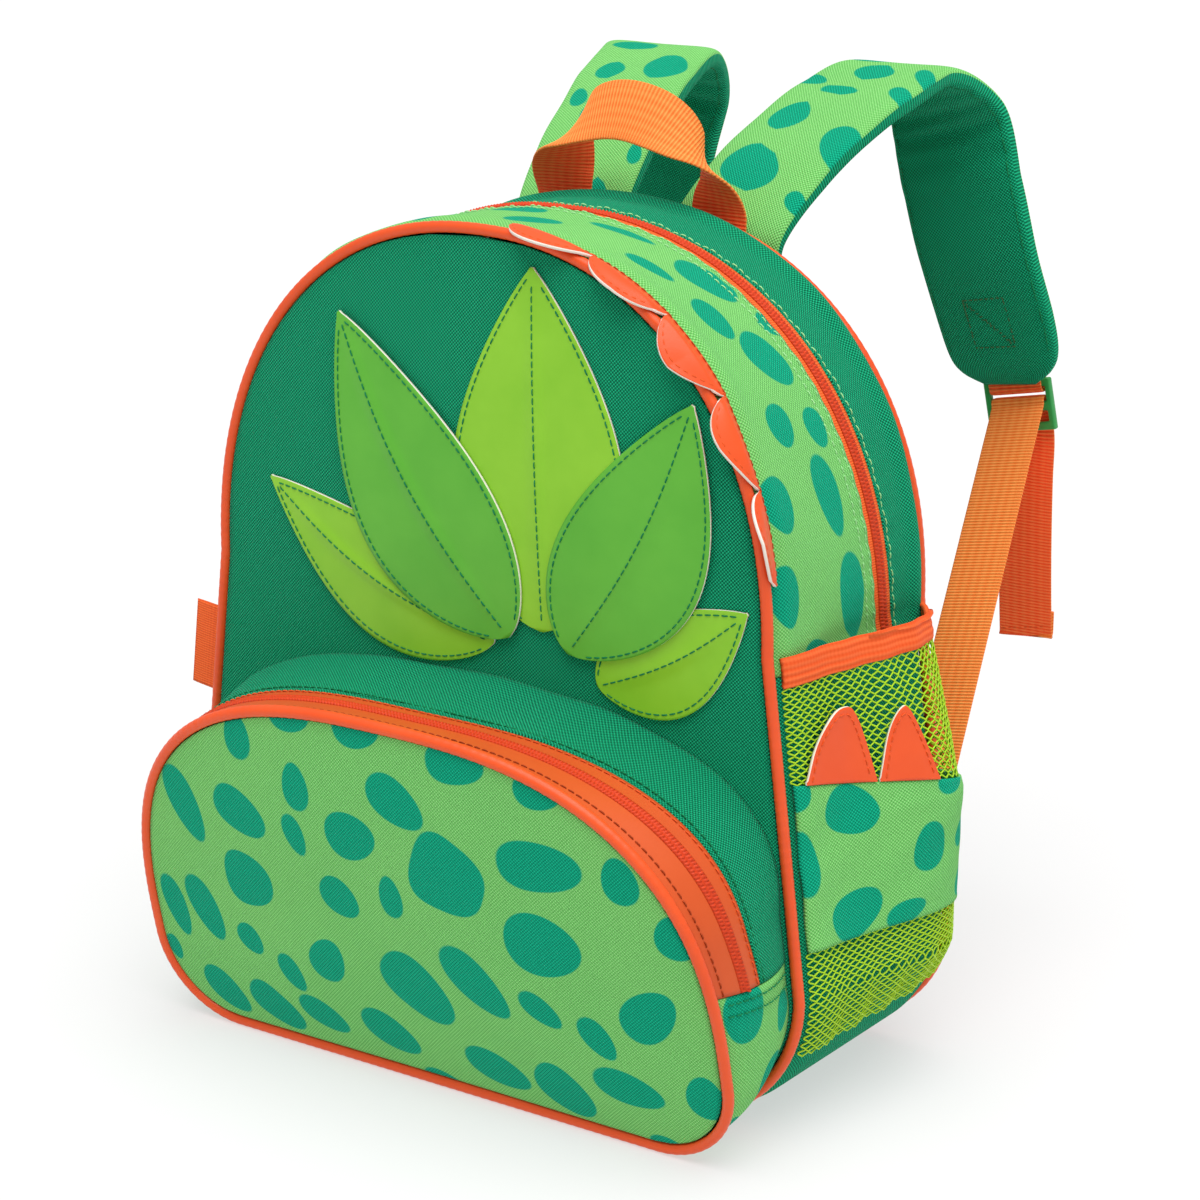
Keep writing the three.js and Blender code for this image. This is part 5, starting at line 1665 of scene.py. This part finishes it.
# %% Make the straps
STRAP_ROW = {"inset": 2.6, "from": 20.0, "short": 34.0}
BOX_PITCH = 2.6
# The box stitch on the strap's inner face, line by line: across, and distance from the root
BOX_LINES = [
    [(-10, 248), (9, 248), (9, 270), (-10, 270), (-10, 248)],
    [(-10, 248), (9, 270)],
]


def box_row(mirror, corners):
    """Stitches along a line of corners on the strap's inner face."""
    across, distance = np.array(corners, float).T
    return stitch_row(lambda s, raised: strap_face(
        mirror, at_share(s, across), at_share(s, distance), raised,
    ), BOX_PITCH)


strap_stitches = []
box_stitches = []
for side, mirror in SIDES:
    mesh = bent_mesh(
        f"strap_{side}", (56, len(strap_along) - 1),
        lambda u, v: strap_point(mirror, 2 * math.pi * u, v * strap_along[-1]), strap_cut,
        spots=STRAP_SPOTS[side] + STRAP_SPOTS_BEHIND, second=strap_inside,
    )
    looks = [spotted_cloth, green_cloth]
    strap = new_piece(f"strap_pad_{side}", mesh, looks, [f"strap_{side}"])
    for edge in (-1, 1):
        row_at = edge * (STRAP_WIDTH / 2 - STRAP_ROW["inset"])
        row_length = strap_along[-1] - STRAP_ROW["short"]
        strap_stitches += stitch_row(lambda s, raised: strap_face(
            mirror, np.full_like(s, row_at), STRAP_ROW["from"] + row_length * s, raised,
        ))
    for line in BOX_LINES:
        box_stitches += box_row(mirror, line)
    print("strap", side, len(mesh.polygons), "faces")

# %% [markdown]
# ## Ladder locks and adjusters
# A webbing loop holds the plastic ladder lock at the strap's end. The lock is moulded as a plate with two
# slots and rounded edges. A coarse grid with two cells taken out, extruded and bevelled, gives exactly
# that; cutting the slots with booleans would leave untidy edges.

# %% The lock's own axes
LOCK = {
    "width": 31.5, "slot_width": 26.0, "thick": 3.2,
    "bar": 3.5, "slot": 6.5, "grip": 4.0, "lower_slot": 5.0,
}
LOCK_HEIGHT = 2 * LOCK["bar"] + LOCK["slot"] + LOCK["grip"] + LOCK["lower_slot"]
LOCK_BEHIND = 6.1
lock_down = Vector((0.2, 0, -1)).normalized()
sideways = Vector((1, 0, 0))
lock_across = (sideways - lock_down * sideways.dot(lock_down)).normalized()
lock_through = lock_across.cross(lock_down)
strap_tip = Vector(strap_rows[-1, :3])
strap_out = -Vector(strap_through[-1])
lock_top = strap_tip + strap_out * LOCK_BEHIND


def lock_point(down, through):
    """A place told by the lock's own axes: down from its top edge, and through it."""
    return tuple(lock_top + lock_down * down + lock_through * through)


# %% Ladder lock
LOCK_BEVEL = 0.8
SHARP = math.radians(30)


def slotted_plate(columns, rows, slots, thick):
    """A plate set out by columns and rows of cells, some of them taken out, then extruded."""
    bm = bmesh.new()
    across = len(columns) - 1
    down = len(rows) - 1
    bmesh.ops.create_grid(bm, x_segments=across, y_segments=down, size=0.5)
    taken = []
    for face in bm.faces:
        middle = face.calc_center_median()
        if (int((middle.x + 0.5) * across), int((middle.y + 0.5) * down)) in slots:
            taken.append(face)
    for vert in bm.verts:
        column = columns[round((vert.co.x + 0.5) * across)]
        vert.co = Vector((column, rows[round((vert.co.y + 0.5) * down)], -thick / 2))
    bmesh.ops.delete(bm, geom=taken, context="FACES")
    raised = bmesh.ops.extrude_face_region(bm, geom=bm.faces[:])
    top = [item for item in raised["geom"] if isinstance(item, bmesh.types.BMVert)]
    bmesh.ops.translate(bm, verts=top, vec=(0, 0, thick))
    bmesh.ops.recalc_face_normals(bm, faces=bm.faces)
    return bm


def rounded_mesh(bm, name, bevel, segments, axes, mirror=1):
    """Rounds the edges of a hard shape, moves it into its axes and makes it a mesh."""
    bmesh.ops.recalc_face_normals(bm, faces=bm.faces)
    sharp = [edge for edge in bm.edges if edge.calc_face_angle(0) > SHARP]
    bmesh.ops.bevel(
        bm, geom=sharp, offset=bevel, affect="EDGES", segments=segments, profile=0.5, material=-1,
        clamp_overlap=True,
    )
    bmesh.ops.transform(bm, matrix=Matrix.Diagonal((MM * mirror, MM, MM, 1)) @ axes, verts=bm.verts)
    bmesh.ops.recalc_face_normals(bm, faces=bm.faces)
    made = bpy.data.meshes.new(name)
    bm.to_mesh(made)
    bm.free()
    return made


def ladder_lock(mirror):
    """A plate with two slots, with every edge rounded by the mould."""
    half = LOCK["width"] / 2
    slot = LOCK["slot_width"] / 2
    rows = np.cumsum([0, LOCK["bar"], LOCK["slot"], LOCK["grip"], LOCK["lower_slot"], LOCK["bar"]])
    bm = slotted_plate([-half, -slot, slot, half], rows, {(1, 1), (1, 3)}, LOCK["thick"])
    axes = Matrix((lock_across, lock_down, lock_through)).transposed().to_4x4()
    axes.translation = lock_top
    return rounded_mesh(bm, "ladder_lock", LOCK_BEVEL, 3, axes, mirror)


for side, mirror in SIDES:
    mesh = ladder_lock(mirror)
    new_piece(f"ladder_lock_plastic_{side}", mesh, [green_plastic], [f"ladder_lock_{side}"])
print("ladder locks:", len(mesh.polygons), "faces each")

# %% [markdown]
# ### Loops and adjusters
# The loop goes from the strap's outer face round the lock's top bar and back. The adjuster comes up taut
# from the lower seam, passes round the lock's grip and hangs down as a free tail with a folded end. Both
# are webbing along stations, most of them told by the lock's own axes, so they stay clear of it.

# %% Setting out loops and adjusters
ADJUSTER_WIDTH = 25.0
ADJUSTER_THICK = 1.3
LOCK_GAP = 0.4
LOCK_CLEAR = LOCK["thick"] / 2 + LOCK_GAP + ADJUSTER_THICK / 2
# Round a bar: past its edge, and through the lock
BAR_BEND = [
    (-0.9, -LOCK_CLEAR), (0.9, 0.25 - LOCK_CLEAR), (1.9, 1.4 - LOCK_CLEAR), (2, 0),
    (1.9, LOCK_CLEAR - 1.4), (0.9, LOCK_CLEAR - 0.25), (-0.9, LOCK_CLEAR),
]
LOOP_LAYER = 1.65
LOOP_CLEAR = -0.6
# The loop is sewn on the strap's outer face: distance up from its tip, and out from its middle
LOOP_LIE = [(14, 4.8), (6, 3.9)]
TAIL_END_Z = 122.0
TAIL_LEAN = 6.0
TAIL_HEM = 11.0
TAIL_TOP = {"below": 2.0, "behind": 0.5}
TAIL_SHARES = (0.2, 0.4, 0.6, 0.8, 1.0)
# The tail's folded end: back from it, and up from its foot
HEM_FOLD = [(0.75, -0.75), (1.5, 0.3), (1.55, TAIL_HEM / 2), (1.5, TAIL_HEM)]
# Shares of the straight run up to the lock; they crowd towards it so that the curve doesn't overshoot
TAUT_SHARES = (0.5, 0.8, 0.92, 0.97, 1.0)
# Where the run ends: below the grip's top edge, and in front of the lock
RUN_BELOW = 4.0
RUN_IN_FRONT = 2.6
ADJUSTER_SEAM = [(122, 57, 32), (121.8, 57.5, 46), (121.5, 61, 58), (121, 73, 76)]


def round_bar(edge, way):
    return [lock_point(edge + past * way, through) for past, through in BAR_BEND]


def loop_layer(raised):
    """One layer of the loop on the strap, from its sewn end down to the strap's tip."""
    up_strap = -Vector(strap_run[-1])
    return [tuple(strap_tip + up_strap * up + strap_out * (out + raised)) for up, out in LOOP_LIE]


loop_points = loop_layer(0) + round_bar(LOCK["bar"], 1) + [lock_point(LOOP_CLEAR, LOCK_CLEAR)]
loop_points += reversed(loop_layer(LOOP_LAYER))
tail_top = lock_point(LOCK_HEIGHT + TAIL_TOP["below"], LOCK_CLEAR + TAIL_TOP["behind"])
tail = [
    (tail_top[0], tail_top[1] + TAIL_LEAN * share ** 2, tail_top[2] + (TAIL_END_Z - tail_top[2]) * share)
    for share in TAIL_SHARES
]
lock_foot = np.array(lock_point(LOCK["bar"] + LOCK["slot"] + RUN_BELOW, -LOCK_CLEAR - RUN_IN_FRONT))
run_foot = np.array(ADJUSTER_SEAM[-1], float)
taut_run = [tuple(run_foot + (lock_foot - run_foot) * share) for share in TAUT_SHARES]
hem = [(tail[-1][0], tail[-1][1] + back, TAIL_END_Z + up) for back, up in HEM_FOLD]
adjuster_points = ADJUSTER_SEAM + taut_run
adjuster_points += round_bar(LOCK["bar"] + LOCK["slot"], -1) + [tail_top] + tail + hem
print("loop and adjuster stations:", len(loop_points), len(adjuster_points))

# %% Make loops and adjusters
HEM_ROWS_UP = (2.5, 8.5)
HEM_ROW_INSET = 1.0
half_row = np.array(lock_across) * (ADJUSTER_WIDTH / 2 - HEM_ROW_INSET)
hem_stitches = []
for side, mirror in SIDES:
    for name, places in (("lock_loop", loop_points), ("adjuster", adjuster_points)):
        stations = [
            (x * mirror, y, z, lock_across.x, lock_across.y * mirror, lock_across.z * mirror)
            for x, y, z in places
        ]
        webbing(
            f"{name}_webbing_{side}", f"{name}_{side}", stations, ADJUSTER_WIDTH, ADJUSTER_THICK, inner=1,
        )
    for up in HEM_ROWS_UP:
        front = np.array([tail[-1][0], tail[-1][1] - ADJUSTER_THICK / 2, TAIL_END_Z + up])
        hem_stitches += stitch_row(lambda s, raised: (
            front + (2 * s - 1)[:, None] * half_row - np.array([0, raised, 0])
        ) * [mirror, 1, 1], BOX_PITCH)

# %% [markdown]
# ## Seam tab
# A short folded ribbon caught in the left seam, left bare. Its two layers meet at a rounded fold, so one
# grid goes out along the first layer, round the fold and back along the second.

# %% Seam tab
SEAM_TAB = {"low": 128, "high": 164, "reach": 15.5, "thick": 1.2, "y": -50.2, "ribbon": 0.45}
SEAM_TAB_MIDDLE = (-150, SEAM_TAB["y"], (SEAM_TAB["low"] + SEAM_TAB["high"]) / 2)


def seam_tab_place(u, v):
    """The ribbon goes out, round the fold and back: u follows it, v is its height."""
    turn = 1 - turn_at_height(SEAM_TAB["low"] + (SEAM_TAB["high"] - SEAM_TAB["low"]) * v)
    reach = GAP + (SEAM_TAB["reach"] - GAP) * np.sin(math.pi * u) ** 0.5
    layer = SEAM_TAB["thick"] / 2 * np.cos(math.pi * u)
    return body_point(turn, SEAM_TAB["y"] + layer, reach)


def seam_tab_cut(u, v):
    return np.column_stack([2 * SEAM_TAB["reach"] * u, (SEAM_TAB["high"] - SEAM_TAB["low"]) * v])


sewn_piece(
    "seam_tab_ribbon", "seam_tab", (40, 30), seam_tab_place, seam_tab_cut,
    [zip_cloth], SEAM_TAB["ribbon"], SEAM_TAB_MIDDLE,
)

# %% [markdown]
# ## Sliders and the pull
# The pocket's slider sits at the left end of its zip. Its pull hangs from the bail and swings, so it rides
# on its own body. Both are small cast pieces with rounded edges, so a cube, a spun half ring and a slotted
# plate are enough, each bevelled.

# %% Slider frame
PIVOT = Vector((-143.568, -85.570, 76.897))
SLIDER_RUN = Vector((-0.1649, 0.1482, -0.9751)).normalized()
SLIDER_OUT = Vector((-0.9860, 0.0, 0.1667)).normalized()
SLIDER_ACROSS = SLIDER_RUN.cross(SLIDER_OUT).normalized()
SLIDER = {"length": 10.0, "width": 8.0, "height": 3.0, "waist": 0.72, "bevel": 0.3}
BAIL = {"width": 2.2, "reach": 3.4, "bar": 1.2, "half": 3.6}
PULL = {
    "half_width": 3.6, "arm": 1.2, "bar": 1.1, "window": 5.6, "length": 15.0, "thick": 1.1,
    "corner": 2.0, "bevel": 0.25,
}
PIVOT_OUT = SLIDER["height"] + (BAIL["reach"] - BAIL["bar"]) / 2
slider_frame = Matrix((SLIDER_RUN, SLIDER_OUT, SLIDER_ACROSS)).transposed().to_4x4()
slider_frame.translation = PIVOT - SLIDER_OUT * PIVOT_OUT


def slider_body(bm):
    """A waisted block: a cube with its middle drawn in."""
    size = (SLIDER["length"], SLIDER["height"], SLIDER["width"])
    made = bmesh.ops.create_cube(bm, size=1)
    bmesh.ops.scale(bm, vec=size, verts=made["verts"])
    bmesh.ops.translate(bm, vec=(0, SLIDER["height"] / 2, 0), verts=made["verts"])
    for vert in made["verts"]:
        if vert.co.x > 0:
            vert.co.z *= SLIDER["waist"]


def slider_bail(bm):
    """A half ring over the block, spun from a small rectangle and stretched to the bail's reach."""
    foot = bmesh.ops.create_grid(bm, x_segments=1, y_segments=1, size=0.5)
    flat = Matrix.Rotation(math.radians(90), 4, "X")
    bmesh.ops.transform(bm, matrix=flat, verts=foot["verts"])
    bmesh.ops.scale(bm, vec=(BAIL["bar"], 1, BAIL["width"]), verts=foot["verts"])
    bmesh.ops.translate(bm, vec=(BAIL["half"] - BAIL["bar"] / 2, 0, 0), verts=foot["verts"])
    start = [item for item in bm.faces if item.verts[0] in foot["verts"]]
    before = set(bm.verts) - set(foot["verts"])
    bmesh.ops.spin(
        bm, geom=start + list(start[0].edges) + foot["verts"], cent=(0, 0, 0), axis=(0, 0, 1),
        angle=math.pi, steps=10, use_merge=False,
    )
    ring = [vert for vert in bm.verts if vert not in before]
    bmesh.ops.scale(bm, vec=(1, BAIL["reach"] / BAIL["half"], 1), verts=ring)
    bmesh.ops.translate(bm, vec=(0, SLIDER["height"], 0), verts=ring)


bm = bmesh.new()
slider_body(bm)
slider_bail(bm)
mesh = rounded_mesh(bm, "pocket_slider", SLIDER["bevel"], 2, slider_frame)
new_piece("pocket_slider_metal", mesh, [dark_metal], ["pocket_zip_slider"])
print("pocket slider:", len(mesh.polygons), "faces")

# %% [markdown]
# ### The main zip's slider
# The same block without a bail, at the left end of the main zip. Its axes come from the wall there.

# %% Main zip slider
SLIDER_TURN = 0.0195
SLIDER_RISE = 2.1
MAIN_SLIDER_BEVEL = 0.4
main_turn = np.array([1 - ARC_END - SLIDER_TURN])
_, _, main_nx, main_nz = on_arch(body_rim, main_turn)
main_out = Vector((main_nx[0], 0, main_nz[0]))
main_across = Vector((0, 1, 0))
main_y = zip_middle(main_turn)
main_frame = Matrix((main_across.cross(main_out), main_out, -main_across)).transposed().to_4x4()
main_frame.translation = Vector(body_point(main_turn, main_y, gusset_out(main_y) + SLIDER_RISE)[0])
bm = bmesh.new()
slider_body(bm)
mesh = rounded_mesh(bm, "main_slider", MAIN_SLIDER_BEVEL, 2, main_frame)
new_piece("main_slider_metal", mesh, [dark_metal], ["main_zip_slider"])
print("main slider:", len(mesh.polygons), "faces")

# %% [markdown]
# ### The pull
# A small plate with a window that hooks over the bail. Its free end has round corners.

# %% The pull
half = PULL["half_width"]
arm = half - PULL["arm"]
foot = PULL["bar"] / 2 + PULL["window"]
columns = [-half, -arm, arm, half]
rows = [-PULL["bar"] / 2, PULL["bar"] / 2, foot, PULL["length"]]
bm = slotted_plate(columns, rows, {(1, 1)}, PULL["thick"])


def at_free_end(edge):
    """True for an upright edge at a corner of the pull's free end."""
    first, second = (vert.co for vert in edge.verts)
    return first.z != second.z and all(abs(co.x) > arm and co.y > foot for co in (first, second))


corners = [edge for edge in bm.edges if at_free_end(edge)]
bmesh.ops.bevel(
    bm, geom=corners, offset=PULL["corner"], affect="EDGES", segments=4, profile=0.5, material=-1,
)
# The plate is set out across, down and through; the slider's axes run down, out and across
plate_axes = Matrix(((0, 1, 0, 0), (0, 0, 1, PIVOT_OUT), (1, 0, 0, 0), (0, 0, 0, 1)))
mesh = rounded_mesh(bm, "pull", PULL["bevel"], 2, slider_frame @ plate_axes)
new_piece("pocket_pull_metal", mesh, [dark_metal], ["pocket_zip_pull"], body="zip_pull")
print("pull:", len(mesh.polygons), "faces")

# %% [markdown]
# ## Remaining stitches
# Rows that were set out with their pieces are made here, one piece for each colour of thread.

# %% Threads
orange_rows = edge_stitches + pocket_stitches + hem_stitches
yarn_piece("edge_stitch_thread", orange_rows, THREAD, orange_thread)
# Piping stitches in real red-brown thread, and the trim's seam row as painted hole shade
yarn_piece("seam_thread_and_painted_hole_shade", trim_seam_stitches_and_hole_shade + piping_stitches, THREAD, brown_thread_and_hole_shade)
yarn_piece("strap_box_thread", box_stitches, THREAD, olive_thread)
yarn_piece("strap_edge_thread", strap_stitches, THREAD, dark_thread)
yarn_piece("pocket_topstitch_thread", top_stitches + hem_rows, THREAD, dark_thread)

# %% [markdown]
# ## Floor and light
# A white acrylic light table under a broad soft light from above, as in a product tent: the table glows, so
# the bag's shadow stays pale, and it lights the bag from below. Faces that look up are about twice as
# bright as the front. The light is a sun with a wide angle, so the table stays even into the distance; an
# area lamp would light it in a pool.

# %% Floor
TABLE_GLOW = 0.56
FLOOR_RADIUS = 80.0
floor_bm = bmesh.new()
bmesh.ops.create_circle(floor_bm, cap_ends=True, segments=96, radius=FLOOR_RADIUS)
floor_mesh = bpy.data.meshes.new("studio_floor")
floor_bm.to_mesh(floor_mesh)
floor_bm.free()
table_acrylic = new_material("white_lit_acrylic", {
    "Base Color": linear("#9A9A9A"), "Roughness": 0.9, "Specular IOR Level": 0.1,
    "Emission Color": (1, 1, 1, 1), "Emission Strength": TABLE_GLOW,
})
floor_mesh.materials.append(table_acrylic)
floor = bpy.data.objects.new("studio_floor", floor_mesh)
bpy.context.scene.collection.objects.link(floor)
print("floor radius:", FLOOR_RADIUS, "m")

# %% Light
KEY = {"place": (0.4, -0.4, 2.4), "energy": 3.3, "angle": math.radians(60)}
FILL = {"place": (2.0, -0.9, 1.3), "energy": 2.0, "size": 1.2}
STUDIO_GLOW = 0.44
key = bpy.data.lights.new("top_softbox", "SUN")
key.energy = KEY["energy"]
key.angle = KEY["angle"]
fill = bpy.data.lights.new("fill_softbox", "AREA")
fill.energy = FILL["energy"]
fill.size = FILL["size"]
for lamp, place in ((key, KEY["place"]), (fill, FILL["place"])):
    holder = bpy.data.objects.new(lamp.name, lamp)
    holder.location = place
    holder.rotation_euler = (Vector(place) - VIEW_TARGET).to_track_quat("Z", "Y").to_euler()
    bpy.context.scene.collection.objects.link(holder)

world = bpy.data.worlds.new("white_studio")
world.use_nodes = True
world.node_tree.nodes["Background"].inputs["Color"].default_value = (1, 1, 1, 1)
world.node_tree.nodes["Background"].inputs["Strength"].default_value = STUDIO_GLOW
bpy.context.scene.world = world
bpy.context.scene.view_settings.view_transform = "Standard"
print("lit by", key.name, "and", fill.name)
